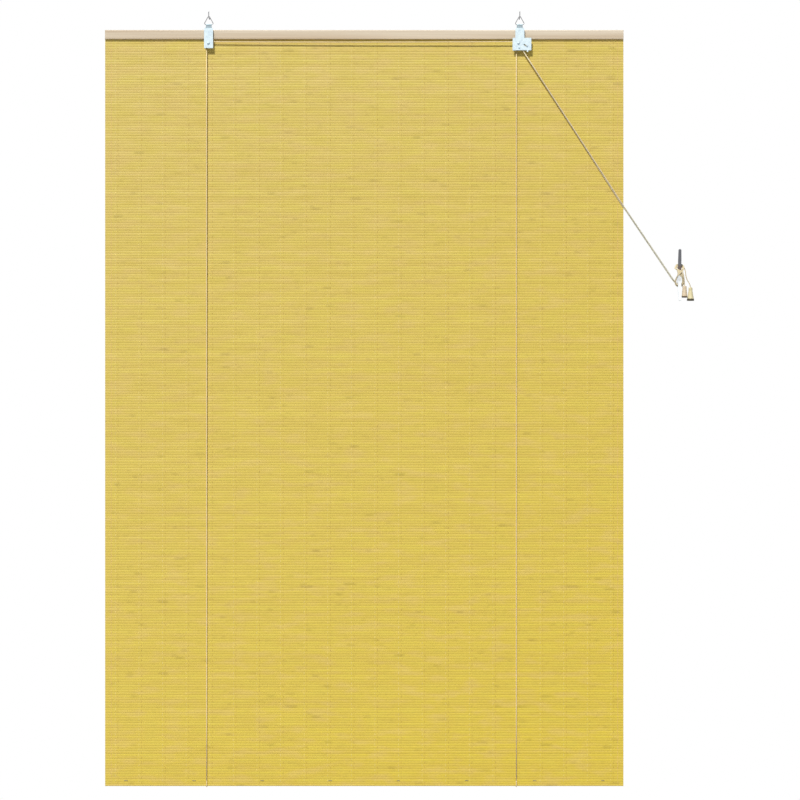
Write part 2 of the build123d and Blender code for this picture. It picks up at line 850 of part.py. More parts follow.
def staple_nodes():
    """The staples of the headrail, the lift cords and the bottom batten, as groups."""
    rail_z = slat_middle(rail_staple_slat)
    cord_z = slat_middle(cord_staple_slat)
    batten_z = slat_middle(batten_staple_slat)
    cord_seat = back_top_y + cord_r
    cord_places = (left_fall_x + back_run_shift, right_fall_x + back_run_shift)
    return {
        "mat_staples": Compound([staple(x, rail_z, mat_back, -1) for x in staple_places(rail_staple_count)]),
        "cord_staples": Compound(
            [staple(x, cord_z, cord_seat, -1, cord_staple_crown, cord_staple_leg) for x in cord_places]
        ),
        "batten_staples": Compound(
            [staple(x, batten_z, mat_front - loose_gap, 1) for x in staple_places(batten_staple_count)]
        ),
    }


def all_nodes():
    """Every piece of the blind by name."""
    full_hub = rear_leg_in - front_leg_in - 2 * pulley_side_gap
    half_spacing = cleat_screw_spacing / 2
    cleat_screws = [cleat_screw(cleat_z + rise) for rise in (-half_spacing, half_spacing)]
    screws = [countersunk_screw(sx, sz) for x in (hook_left_x, hook_right_x) for sx, sz in screw_places(x)]
    nodes = {
        "screw_hook_left": screw_hook(hook_left_x),
        "screw_hook_right": screw_hook(hook_right_x),
        "hanging_loop_left": hanging_loop(hook_left_x),
        "hanging_loop_right": hanging_loop(hook_right_x),
        "headrail": headrail(),
        "bracket_left": bracket_left(),
        "bracket_lock": bracket_lock(),
        "bracket_screws": Compound(screws),
        "pulley_left": pulley(hook_left_x, gap_middle, full_hub),
        "pulley_rivet_left": pulley_rivet(hook_left_x),
        "lock_pulley_front": pulley(lock_axle_x, front_groove_y, pulley_thickness),
        "lock_pulley_back": pulley(lock_axle_x, back_groove_y, pulley_thickness),
        "lock_pulley_rivet": pulley_rivet(lock_axle_x),
        "lock_guide_pin": guide_pin(),
        "lock_roller": lock_roller(),
        "lock_roller_pin": roller_pin(),
        "bamboo_mat": bamboo_mat(),
        "bottom_batten": bottom_batten(),
        "wall_cleat": cleat(),
        "cleat_screws": Compound(cleat_screws),
        "cleat_winding": cleat_winding(),
        "tassel_a": tassel(tassel_a_top, tassel_a_length, tassel_a_top_r, tassel_a_foot_r),
        "tassel_b": tassel(tassel_b_top, tassel_b_length, tassel_b_top_r, tassel_b_foot_r),
        "tassel_knots": Compound([knot(tassel_a_top, tassel_a_length), knot(tassel_b_top, tassel_b_length)]),
    }
    nodes.update(staple_nodes())
    nodes.update(cord_nodes())
    return nodes


os.makedirs("parts", exist_ok=True)
for node, shape in all_nodes().items():
    export_step(shape, f"parts/{node}.step")
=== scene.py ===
import logging
import math
import random
from dataclasses import dataclass, field
from enum import Enum
from functools import reduce
from typing import ClassVar, NamedTuple, Sequence

import bpy
import numpy as np
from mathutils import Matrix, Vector


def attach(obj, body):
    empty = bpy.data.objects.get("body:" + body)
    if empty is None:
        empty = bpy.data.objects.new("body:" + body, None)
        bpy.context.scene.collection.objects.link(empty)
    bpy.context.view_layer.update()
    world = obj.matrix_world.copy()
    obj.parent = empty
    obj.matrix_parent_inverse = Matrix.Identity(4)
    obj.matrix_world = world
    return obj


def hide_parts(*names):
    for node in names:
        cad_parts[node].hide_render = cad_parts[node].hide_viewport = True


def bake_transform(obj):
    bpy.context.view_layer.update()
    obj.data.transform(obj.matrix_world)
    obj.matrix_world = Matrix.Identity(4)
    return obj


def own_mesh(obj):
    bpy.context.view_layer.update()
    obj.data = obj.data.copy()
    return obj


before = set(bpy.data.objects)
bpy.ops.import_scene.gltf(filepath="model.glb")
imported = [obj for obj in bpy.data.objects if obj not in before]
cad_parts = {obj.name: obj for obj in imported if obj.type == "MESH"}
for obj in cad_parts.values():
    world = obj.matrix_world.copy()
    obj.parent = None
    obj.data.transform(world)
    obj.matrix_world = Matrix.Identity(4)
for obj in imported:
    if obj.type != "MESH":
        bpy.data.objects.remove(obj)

LOG = logging.getLogger("blind")
MM = 0.001
CORD_DIAMETER = 2.8 * MM
INTERNODE = 0.38  # metres from one node of the bamboo to the next

Point = tuple[float, float, float]
Colour = tuple[float, float, float]
Route = list[Point]
Face = tuple[int, ...]
Rows = list[list[int]]
UV = tuple[float, float]
Object = bpy.types.Object
Tree = bpy.types.NodeTree
Node = bpy.types.Node
Socket = bpy.types.NodeSocket
Sockets = bpy.types.bpy_prop_collection


class Body(str, Enum):
    """The bodies of the frame that the pieces ride on."""

    WALL = "wall_fixings"
    BLIND = "blind"
    BOTTOM = "bottom_rail"


class Side(Enum):
    """Which of the two lift cords, as the viewer sees them."""

    LEFT = "left"
    RIGHT = "right"


def linear(value: float) -> float:
    """Undo the screen's curve for one channel, given as 0 to 1."""
    return value / 12.92 if value <= 0.04045 else ((value + 0.055) / 1.055) ** 2.4


def paint(red: float, green: float, blue: float) -> Colour:
    """Turn a colour written as 0 to 255 into the linear values that the shaders take."""
    return (linear(red / 255.0), linear(green / 255.0), linear(blue / 255.0))


class Graph:
    """A helper that adds nodes to a material's or a group's tree and links them."""

    def __init__(self, tree: Tree) -> None:
        """Keep the tree that nodes are added to."""
        self.tree = tree

    def add(self, kind: str, inputs: dict[str | int, object] | None = None, **settings: object) -> Node:
        """Add a node.

        Args:
            kind: The node's type name.
            inputs: The values or sockets that feed its inputs, by name or number.
            settings: Properties of the node, such as operation or blend_type.

        Returns:
            The new node.
        """
        node = self.tree.nodes.new(kind)
        for key, value in settings.items():
            setattr(node, key, value)
        for key, value in (inputs or {}).items():
            self.feed(node.inputs[key], value)
        return node

    def feed(self, socket: Socket, value: object) -> None:
        """Link a socket to another node's output, or set it to a constant.

        Args:
            socket: The input to feed.
            value: The output to link, or the constant.
        """
        if isinstance(value, Socket):
            self.tree.links.new(value, socket)
        elif isinstance(value, tuple) and len(value) == 3 and len(socket.default_value) == 4:
            socket.default_value = (*value, 1.0)
        else:
            socket.default_value = value

    def maths(self, operation: str, *values: object) -> Socket:
        """Add a Math node and return its output."""
        return self.add("ShaderNodeMath", dict(enumerate(values)), operation=operation).outputs[0]

    def times(self, *values: object) -> Socket:
        """Multiply values, from the left."""
        return reduce(lambda one, two: self.maths("MULTIPLY", one, two), values)

    def blend(self, share: object, first: object, second: object) -> Socket:
        """Mix two colours, with a share of the second."""
        inputs = {"Factor": share, 6: first, 7: second}
        return self.add("ShaderNodeMix", inputs, data_type="RGBA").outputs[2]

    def coat(self, base: object, coats: Sequence[tuple[Socket, Colour]]) -> object:
        """Lay coats of colour over a base, each with its mask, and return the last mix."""
        return reduce(lambda under, coat: self.blend(coat[0], under, coat[1]), coats, base)

    def remap(self, value: Socket, low: float, high: float, start: float = 0.0, end: float = 1.0) -> Socket:
        """Map a value's range from low to high onto one from start to end, held within it."""
        inputs = {"Value": value, "From Min": low, "From Max": high, "To Min": start, "To Max": end}
        return self.add("ShaderNodeMapRange", inputs, clamp=True).outputs[0]

    def noise(self, vector: Socket, detail: float = 2.0, rough: float = 0.5, scale: float = 1.0) -> Socket:
        """Add a noise texture and return its value."""
        inputs = {"Vector": vector, "Scale": scale, "Detail": detail, "Roughness": rough}
        return self.add("ShaderNodeTexNoise", inputs).outputs[0]

    def stretch(self, vector: Socket, scale: Point) -> Socket:
        """Scale a coordinate differently along each axis."""
        return self.add("ShaderNodeMapping", {"Vector": vector, "Scale": scale}).outputs[0]

    def split(self, vector: Socket) -> tuple[Socket, ...]:
        """Take a vector apart into its X, Y and Z."""
        return tuple(self.add("ShaderNodeSeparateXYZ", {0: vector}).outputs)

    def join(self, *values: object) -> Socket:
        """Put a vector together from its X, Y and Z, where one left out is 0."""
        return self.add("ShaderNodeCombineXYZ", dict(enumerate(values))).outputs[0]

    def position(self) -> Socket:
        """Return the place on the object, in metres."""
        return self.add("ShaderNodeTexCoord").outputs["Object"]

    def seen(self) -> Socket:
        """Tell the rays that the camera sees from those that only carry light.

        Returns:
            1 for rays that the camera sees, also mirrored or let through, and 0 for light.
        """
        path = self.add("ShaderNodeLightPath").outputs
        straight = self.maths("MAXIMUM", path["Is Camera Ray"], path["Is Glossy Ray"])
        return self.maths("MAXIMUM", straight, path["Is Transmission Ray"])


class Effect:
    """A shader node group that finishes share, built the first time that one uses it."""

    name: ClassVar[str]
    inputs: ClassVar[dict[str, float | None]]
    built: ClassVar[dict[str, Tree]] = {}

    @classmethod
    def wire(cls, graph: Graph, given: Sockets) -> dict[str, Socket]:
        """Add the group's nodes.

        Args:
            graph: The group's graph.
            given: The group's inputs by name, of which those with no default value are vectors.

        Returns:
            The sockets that feed the group's outputs, by name, all plain values.
        """
        raise NotImplementedError

    @classmethod
    def tree(cls) -> Tree:
        """Return the group's tree, built the first time.

        Returns:
            The tree.
        """
        if cls.name not in cls.built:
            tree = bpy.data.node_groups.new(cls.name, "ShaderNodeTree")
            for name, value in cls.inputs.items():
                kind = "NodeSocketVector" if value is None else "NodeSocketFloat"
                socket = tree.interface.new_socket(name=name, in_out="INPUT", socket_type=kind)
                if value is not None:
                    socket.default_value = value
            graph = Graph(tree)
            results = cls.wire(graph, graph.add("NodeGroupInput").outputs)
            for name in results:
                tree.interface.new_socket(name=name, in_out="OUTPUT", socket_type="NodeSocketFloat")
            graph.add("NodeGroupOutput", results)
            cls.built[cls.name] = tree
        return cls.built[cls.name]

    @classmethod
    def use(cls, graph: Graph, **values: object) -> Sockets:
        """Place the group in a material's graph with these inputs, and return its outputs."""
        return graph.add("ShaderNodeGroup", values, node_tree=cls.tree()).outputs


class LongGrain(Effect):
    """Fibres that run along X: fine streaks in broader bands."""

    name = "long_grain"
    inputs = {"Position": None, "Along": 4.0, "Across": 700.0}

    @classmethod
    def wire(cls, graph: Graph, given: Sockets) -> dict[str, Socket]:
        """Read noise that is drawn out along X.

        Args:
            graph: The group's graph.
            given: Position, Along and Across.

        Returns:
            Streak, Band and Height.
        """
        x, y, z = graph.split(given["Position"])
        along = graph.times(x, given["Along"])
        place = graph.join(along, graph.times(y, given["Across"]), graph.times(z, given["Across"]))
        fine = graph.noise(place, 4.0, 0.6)
        broad = graph.noise(graph.stretch(place, (0.35, 0.16, 0.16)))
        streak, band = graph.remap(fine, 0.3, 0.7), graph.remap(broad, 0.32, 0.68)
        return {"Streak": streak, "Band": band, "Height": fine}


class Braid(Effect):
    """Strands that cross round a cord, from its UV: U along in metres, V once round."""

    name = "braid"
    inputs = {"Pitch": 0.0045, "Strands": 4.0}

    @classmethod
    def wire(cls, graph: Graph, given: Sockets) -> dict[str, Socket]:
        """Cross a left-hand wave with a right-hand one.

        Args:
            graph: The group's graph.
            given: Pitch and Strands.

        Returns:
            Height and Valley.
        """
        u, v, _ = graph.split(graph.add("ShaderNodeUVMap").outputs[0])
        turn = graph.times(graph.maths("DIVIDE", u, given["Pitch"]), 2.0 * math.pi)
        around = graph.times(v, given["Strands"], 2.0 * math.pi)
        waves = [graph.maths("SINE", graph.maths(sign, turn, around)) for sign in ("ADD", "SUBTRACT")]
        height = graph.times(graph.maths("ADD", graph.times(*waves), 1.0), 0.5)
        return {"Height": height, "Valley": graph.remap(height, 0.0, 0.45, 1.0, 0.0)}


class Handling(Effect):
    """Smudges and fine scratches that vary a hard surface."""

    name = "handling"
    inputs = {"Position": None, "Size": 60.0}

    @classmethod
    def wire(cls, graph: Graph, given: Sockets) -> dict[str, Socket]:
        """Read soft noise for the smudges and thin noise for the scratches.

        Args:
            graph: The group's graph.
            given: Position and Size.

        Returns:
            Smudge and Scratch.
        """
        inputs = {0: given["Position"], "Scale": given["Size"]}
        spread = graph.add("ShaderNodeVectorMath", inputs, operation="SCALE").outputs[0]
        soft = graph.noise(spread, 3.0, 0.55)
        thin = graph.noise(graph.stretch(spread, (2.0, 2.0, 38.0)))
        return {"Smudge": graph.remap(soft, 0.35, 0.7), "Scratch": graph.remap(thin, 0.4, 0.65)}


class Look(NamedTuple):
    """What a finish feeds to its shader, where depth is what a height of 1 stands for, in metres."""

    colour: Socket
    roughness: Socket
    height: Socket
    depth: float
    strength: float


@dataclass(frozen=True)
class Finish:
    """A surface finish: what it is called, its slot in the record, its colour and its gloss."""

    name: str
    slot: str
    colour: Colour
    roughness: float = 0.5
    metallic: float = 0.0
    made: ClassVar[dict[str, bpy.types.Material]] = {}

    def look(self, graph: Graph) -> Look:
        """Add the nodes of the finish's own detail.

        Args:
            graph: The material's graph.

        Returns:
            What feeds the shader.
        """
        raise NotImplementedError

    def material(self) -> bpy.types.Material:
        """Return the finish's material, built the first time.

        Returns:
            The material.
        """
        if self.name not in self.made:
            material = self.made[self.name] = bpy.data.materials.new(self.name)
            material.use_nodes = True
            graph = Graph(material.node_tree)
            inputs = material.node_tree.nodes["Principled BSDF"].inputs
            look = self.look(graph)
            bump = {"Strength": look.strength, "Distance": look.depth, "Height": look.height}
            normal = graph.add("ShaderNodeBump", bump).outputs[0]
            plain = {"Base Color": self.colour, "Roughness": self.roughness, "Metallic": self.metallic}
            detailed = {"Base Color": look.colour, "Roughness": look.roughness, "Normal": normal}
            for name, value in (*plain.items(), *detailed.items()):
                graph.feed(inputs[name], value)
        return self.made[self.name]


@dataclass(frozen=True)
class BambooFinish(Finish):
    """Split bamboo: each slat its own tone, fibres along it, painted shade in the grooves between slats,
    and painted light that leaves the mat paler towards its top left.
    """

    dark: Colour = paint(194, 162, 72)
    # The colour of the painted shade in the grooves between slats, also used for the dark dashes and node
    # ridges.
    groove: Colour = paint(100, 76, 24)
    warm: Colour = paint(232, 200, 132)
    fresh: Colour = paint(222, 206, 80)
    # The colour that painted light blends in towards the mat's bottom right, leaving its top left paler.
    low: Colour = paint(224, 199, 64)
    ridge_width: float = 0.011

    def look(self, graph: Graph) -> Look:
        """Build the slats' colour from their tone, their fibres, painted shade in their grooves and painted
        light by their place on the mat.

        Args:
            graph: The material's graph.

        Returns:
            What feeds the shader.
        """
        across, up, _ = graph.split(graph.add("ShaderNodeUVMap").outputs[0])
        tone, deep, joint = (
            graph.add("ShaderNodeAttribute", attribute_name=name).outputs["Fac"]
            for name in ("tone", "deep", "joint")
        )
        spot = graph.join(across, 0.0, up)
        own = graph.join(graph.times(across, 10.0), graph.times(tone, 97.0))
        streak = graph.remap(graph.noise(own), 0.34, 0.66)
        dash = graph.remap(graph.noise(graph.stretch(own, (1.6, 1.3, 1.0)), 1.0), 0.66, 0.76, 0.0, 0.2)
        grain = LongGrain.use(graph, Position=spot, Along=8.0, Across=620.0)
        painted_light_slope = graph.maths("SUBTRACT", up, graph.times(across, 0.48))
        hue = graph.noise(graph.stretch(spot, (12.0, 1.0, 36.0)))
        from_node = graph.maths("PINGPONG", graph.maths("ADD", across, joint), INTERNODE / 2)
        ridge = graph.remap(from_node, 0.0, self.ridge_width, 1.0, 0.0)
        colour = graph.coat(self.colour, (
            # Painted light: paler towards the top left, more saturated towards the bottom right.
            (graph.remap(painted_light_slope, -2.3, 0.2, 1.0, 0.0), self.low),
            (graph.remap(hue, 0.5, 0.66, 0.0, 0.3), self.warm),
            (graph.remap(hue, 0.5, 0.34, 0.0, 0.3), self.fresh),
            (graph.times(tone, 0.2), self.dark),
            (graph.times(streak, 0.22), self.dark),
            (graph.times(grain["Streak"], 0.2), self.dark),
            (dash, self.groove),
            (graph.times(ridge, 0.06), self.groove),
            # Painted shade in the grooves between slats and on their shoulders, read from the deep mark.
            (graph.remap(deep, 0.0, 1.0, 0.0, 0.12), self.groove),
        ))
        height = graph.maths("ADD", grain["Height"], graph.times(ridge, 1.5))
        return Look(colour, graph.remap(streak, 0.0, 1.0, 0.46, 0.62), height, 0.12 * MM, 0.6)


@dataclass(frozen=True)
class WoodFinish(Finish):
    """Sanded timber with its grain along X."""

    dark: Colour = paint(186, 160, 126)
    streak: float = 0.35

    def look(self, graph: Graph) -> Look:
        """Lay the grain into the colour, the gloss and the surface.

        Args:
            graph: The material's graph.

        Returns:
            What feeds the shader.
        """
        grain = LongGrain.use(graph, Position=graph.position(), Along=3.0, Across=330.0)
        colour = graph.coat(self.colour, (
            (graph.times(grain["Band"], self.streak), self.dark),
            (graph.times(grain["Streak"], self.streak * 0.6), self.dark),
        ))
        rough = graph.remap(grain["Streak"], 0.0, 1.0, 0.45, 0.6)
        return Look(colour, rough, grain["Height"], 0.1 * MM, 0.5)


@dataclass(frozen=True)
class TurnedFinish(Finish):
    """Wood turned on a lathe: faint upright fibres, tool rings and painted shade at its hollow mouth."""

    dark: Colour = paint(190, 150, 104)
    # The colour of the painted shade inside the mouth, and how far up from the mouth it reaches.
    mouth_shade: Colour = paint(62, 46, 24)
    mouth_z: float = -0.811
    mouth_shade_height: float = 3.8 * MM
    fade: float = 1.4 * MM

    def look(self, graph: Graph) -> Look:
        """Add tool rings round the bell, fibres down it and painted shade at its mouth.

        Args:
            graph: The material's graph.

        Returns:
            What feeds the shader.
        """
        place = graph.position()
        fibre = graph.noise(graph.stretch(place, (900.0, 900.0, 60.0)), 3.0)
        rings = graph.noise(graph.stretch(place, (0.0, 0.0, 1400.0)))
        edge = self.mouth_z + self.mouth_shade_height
        colour = graph.coat(self.colour, (
            (graph.remap(fibre, 0.42, 0.7, 0.0, 0.55), self.dark),
            (graph.remap(rings, 0.45, 0.75, 0.0, 0.3), self.dark),
            # Painted shade: a dark band up from the mouth stands for the shade inside the hollow bell.
            (graph.remap(graph.split(place)[2], edge, edge + self.fade, 0.96, 0.0), self.mouth_shade),
        ))
        height = graph.maths("ADD", rings, graph.times(fibre, 0.4))
        return Look(colour, graph.remap(fibre, 0.3, 0.7, 0.36, 0.52), height, 0.12 * MM, 0.5)


@dataclass(frozen=True)
class MetalFinish(Finish):
    """Plated or drawn metal with smudges and fine scratches."""

    worn: Colour = paint(180, 186, 190)
    size: float = 70.0
    spread: float = 0.14
    smudge: float = 0.35

    def ground(self, graph: Graph) -> object:
        """Return the colour under the smudges, which is plain unless a metal adds its own."""
        return self.colour

    def look(self, graph: Graph) -> Look:
        """Vary the metal's colour, gloss and surface.

        Args:
            graph: The material's graph.

        Returns:
            What feeds the shader.
        """
        marks = Handling.use(graph, Position=graph.position(), Size=self.size)
        colour = graph.blend(graph.times(marks["Smudge"], self.smudge), self.ground(graph), self.worn)
        rough = graph.remap(marks["Smudge"], 0.0, 1.0, self.roughness, self.roughness + self.spread)
        return Look(colour, rough, marks["Scratch"], 0.02 * MM, 0.35)


@dataclass(frozen=True)
class PlateFinish(MetalFinish):
    """Zinc plate, with painted shade on the eye rolled at its top."""

    eye_shade: Colour = paint(150, 164, 170)
    eye_top: float = -20.5 * MM
    eye_foot: float = -32.5 * MM
    fades: tuple[float, float] = (1.2 * MM, 0.8 * MM)

    def look(self, graph: Graph) -> Look:
        """Vary the plate as other metal, and paint shade on its rolled eye.

        Args:
            graph: The material's graph.

        Returns:
            What feeds the shader.
        """
        look = super().look(graph)
        height = graph.split(graph.position())[2]
        above = graph.remap(height, self.eye_foot, self.eye_foot + self.fades[1])
        below = graph.remap(height, self.eye_top, self.eye_top - self.fades[0])
        # Painted shade on the rolled eye, between its top and its foot.
        return look._replace(colour=graph.blend(graph.times(above, below, 0.85), look.colour, self.eye_shade))


@dataclass(frozen=True)
class PolishedFinish(MetalFinish):
    """A polished casting, dark grey, with a painted sky reflection on its lower horn's upward faces and
    tip, a painted bluish reflection on that horn's left side, and painted shade on the casting below the
    upper horn's root, where the cords lie over it.
    """

    # The colours of the painted sky reflection, of the painted bluish reflection on the left side and of
    # the painted shade below the root.
    sky: Colour = paint(232, 236, 236)
    flank_reflection: Colour = paint(176, 186, 204)
    root_shade: Colour = paint(120, 98, 82)
    waist: float = -0.742
    root: float = -0.716
    tip: float = -0.814
    fade: float = 6.0 * MM

    def ground(self, graph: Graph) -> Socket:
        """Paint a sky reflection on the lower horn's upward faces and its tip, a bluish reflection on its
        left side, and shade on the casting below the upper horn's root.

        Args:
            graph: The material's graph.

        Returns:
            The colour under the smudges.
        """
        face_x, _, face_z = graph.split(graph.add("ShaderNodeNewGeometry").outputs["Normal"])
        height = graph.split(graph.position())[2]
        lower = graph.remap(height, self.waist - self.fade / 2, self.waist + self.fade / 2, 1.0, 0.0)
        upward = graph.times(graph.remap(face_z, -0.12, 0.0), lower)
        bright = graph.maths("MAXIMUM", upward, graph.remap(height, self.tip + self.fade, self.tip))
        # Painted shade below the root, painted sky reflection on the lower horn's upward faces and tip,
        # painted bluish reflection on its left side.
        return graph.coat(self.colour, (
            (graph.remap(height, self.root, self.root - self.fade, 0.0, 0.7), self.root_shade),
            (bright, self.sky),
            (graph.times(graph.remap(face_x, -0.3, -0.8), lower), self.flank_reflection),
        ))


@dataclass(frozen=True)
class MouldedFinish(Finish):
    """Moulded plastic with a faint satin texture."""

    worn: Colour = paint(176, 172, 160)

    def look(self, graph: Graph) -> Look:
        """Add the mould's fine texture and a little rubbing.

        Args:
            graph: The material's graph.

        Returns:
            What feeds the shader.
        """
        place = graph.position()
        marks = Handling.use(graph, Position=place, Size=140.0)
        colour = graph.blend(graph.times(marks["Smudge"], 0.3), self.colour, self.worn)
        rough = graph.remap(marks["Scratch"], 0.0, 1.0, 0.4, 0.55)
        return Look(colour, rough, graph.noise(place, scale=5200.0), 0.03 * MM, 0.4)


@dataclass(frozen=True)
class CordFinish(Finish):
    """Braided cord: crossing strands, with painted shade where they dip, and greyer along a given stretch.
    """

    valley: Colour = paint(150, 138, 108)
    pitch: float = 4.2 * MM
    strands: float = 4.0
    depth: float = 0.35 * MM
    grey_stretch: tuple[float, float] | None = None
    grey: Colour = paint(226, 226, 208)

    def look(self, graph: Graph) -> Look:
        """Lay the braid into the colour and the surface.

        Args:
            graph: The material's graph.

        Returns:
            What feeds the shader.
        """
        braid = Braid.use(graph, Pitch=self.pitch, Strands=self.strands)
        place = graph.add("ShaderNodeTexCoord").outputs["UV"]
        fuzz = graph.noise(graph.stretch(place, (2600.0, 26.0, 1.0)), 3.0)
        coats = [
            # Painted shade in the braid's dips; the fuzz below is the fibres' own tone.
            (graph.times(braid["Valley"], 0.5), self.valley),
            (graph.remap(fuzz, 0.45, 0.75, 0.0, 0.3), self.valley),
        ]
        # Greyer between two distances along the cord, in metres.
        if self.grey_stretch:
            along = graph.split(place)[0]
            start = graph.remap(along, self.grey_stretch[0], self.grey_stretch[0] + 0.04)
            end = graph.remap(along, self.grey_stretch[1], self.grey_stretch[1] - 0.02)
            coats.append((graph.times(start, end, 0.72), self.grey))
        height = graph.maths("ADD", braid["Height"], graph.times(fuzz, 0.2))
        rough = graph.remap(fuzz, 0.3, 0.7, 0.8, 0.95)
        return Look(graph.coat(self.colour, coats), rough, height, self.depth, 0.9)


@dataclass(frozen=True)
class ThreadFinish(CordFinish):
    """Warp thread: one fine twist."""

    pitch: float = 1.6 * MM
    strands: float = 1.0
    depth: float = 0.1 * MM


BAMBOO = BambooFinish("split_bamboo", "bamboo", paint(228, 206, 114))
HEADRAIL_WOOD = WoodFinish("headrail_wood", "pale_wood", paint(230, 216, 193), streak=0.6)
BATTEN_WOOD = WoodFinish("batten_wood", "pale_wood", paint(226, 206, 140), dark=paint(196, 168, 104))
ZINC = PlateFinish(
    "bright_zinc", "zinc_plate", paint(229, 246, 250), 0.42, 0.3,
    worn=paint(196, 214, 226), size=150.0, smudge=0.8,
)
WIRE = MetalFinish(
    "drawn_wire", "steel_wire", paint(150, 150, 152), 0.3, 1.0, worn=paint(112, 112, 114), size=160.0
)
SCREW = MetalFinish(
    "bright_screw", "steel_wire", paint(214, 218, 220), 0.34, 0.9, worn=paint(180, 184, 188), size=200.0
)
RIVET = MetalFinish(
    "bright_rivet", "rivet_steel", paint(146, 164, 174), 0.34, 0.7, worn=paint(112, 128, 140), size=220.0
)
CAST = PolishedFinish(
    "cleat_casting", "cleat_metal", paint(112, 113, 117), 0.28, 0.9,
    worn=paint(112, 113, 118), size=50.0, spread=0.12, smudge=0.15,
)
BRASS = MetalFinish(
    "roller_brass", "roller_metal", paint(176, 168, 142), 0.34, 1.0, worn=paint(140, 130, 98), size=220.0
)
PULLEY = MouldedFinish("moulded_pulley", "pulley_plastic", paint(226, 224, 216), 0.45)
CORD = CordFinish("braided_cord", "cord", paint(248, 226, 176), 0.9, valley=paint(208, 180, 126))
# The pull cord is greyer from the mat's edge to the cleat, 0.52 m to 0.81 m along it.
PULL_CORD = CordFinish(
    "braided_pull_cord", "cord", paint(234, 220, 184), 0.9,
    valley=paint(186, 166, 126), grey_stretch=(0.52, 0.81),
)
PALE_WARP = ThreadFinish(
    "pale_warp_thread", "bamboo", paint(244, 228, 170), 0.9, valley=paint(210, 186, 122)
)
# Brown warp thread: partly the thread's own brown, partly painted shade, its dark colour also standing for
# the shade beside the warp line.
BROWN_WARP = ThreadFinish(
    "brown_warp_thread", "bamboo", paint(176, 140, 74), 0.9, valley=paint(120, 88, 36)
)
EDGE_WARP = ThreadFinish(
    "edge_warp_thread", "bamboo", paint(232, 190, 152), 0.9, valley=paint(180, 130, 92)
)
TASSEL_PEACH = TurnedFinish(
    "turned_peach_wood", "turned_wood", paint(224, 207, 178), 0.42, dark=paint(198, 168, 128)
)
TASSEL_STRAW = TurnedFinish(
    "turned_straw_wood", "turned_wood", paint(228, 217, 175), 0.42,
    dark=paint(202, 186, 132), mouth_shade=paint(44, 36, 8), mouth_z=-0.820, mouth_shade_height=5.6 * MM,
)


def add_object(name: str, data: bpy.types.ID) -> Object:
    """Put a new object that holds the data into the scene.

    Args:
        name: The object's name.
        data: Its mesh, curve, camera or light.

    Returns:
        The new object.
    """
    holder = bpy.data.objects.new(name, data)
    bpy.context.scene.collection.objects.link(holder)
    return holder


def mesh_piece(
    name: str,
    points: Sequence[Sequence[float]],
    faces: Sequence[Face],
    finish: Finish,
    uv: Sequence[UV] | None = None,
    smooth: bool = True,
) -> Object:
    """Make a mesh object and dress it.

    Args:
        name: The piece's name.
        points: Its vertices in metres.
        faces: Its faces, as vertex numbers.
        finish: What it is dressed in.
        uv: One UV per face corner, if the finish needs it.
        smooth: Whether its faces shade smoothly.

    Returns:
        The new object.
    """
    mesh = bpy.data.meshes.new(name)
    mesh.from_pydata([tuple(point) for point in points], [], faces)
    if uv is not None:
        layer = mesh.uv_layers.new(name="UVMap")
        layer.data.foreach_set("uv", np.asarray(uv, np.float32).ravel())
    mesh.polygons.foreach_set("use_smooth", [smooth] * len(mesh.polygons))
    mesh.update()
    piece = add_object(name, mesh)
    mesh.materials.append(finish.material())
    return piece


def steps(line: np.ndarray) -> np.ndarray:
    """Return the distance from each point of a line to the next."""
    return np.linalg.norm(np.diff(line, axis=0), axis=1)


@dataclass
class Skin:
    """The quads round a strand, with U along it in metres and V once round."""

    sides: int
    faces: list[Face] = field(default_factory=list)
    uv: list[UV] = field(default_factory=list)

    def join(self, ring: int, after: int, start: float, end: float) -> None:
        """Join two rings of vertices.

        Args:
            ring: One ring's number.
            after: The number of the ring that follows it.
            start: The U of the one.
            end: The U of the other.
        """
        sides, low, high = self.sides, ring * self.sides, after * self.sides
        for side in range(sides):
            beside = (side + 1) % sides
            turn, next_turn = side / sides, (side + 1) / sides
            self.faces.append((low + side, low + beside, high + beside, high + side))
            self.uv += [(start, turn), (start, next_turn), (end, next_turn), (end, turn)]

    def cap(self, last: int) -> None:
        """Close a tube's two ends.

        Args:
            last: The number of the ring at its far end.
        """
        self.faces.append(tuple(reversed(range(self.sides))))
        self.faces.append(tuple(last * self.sides + side for side in range(self.sides)))
        self.uv += [(0.0, side / self.sides) for side in range(self.sides)] * 2


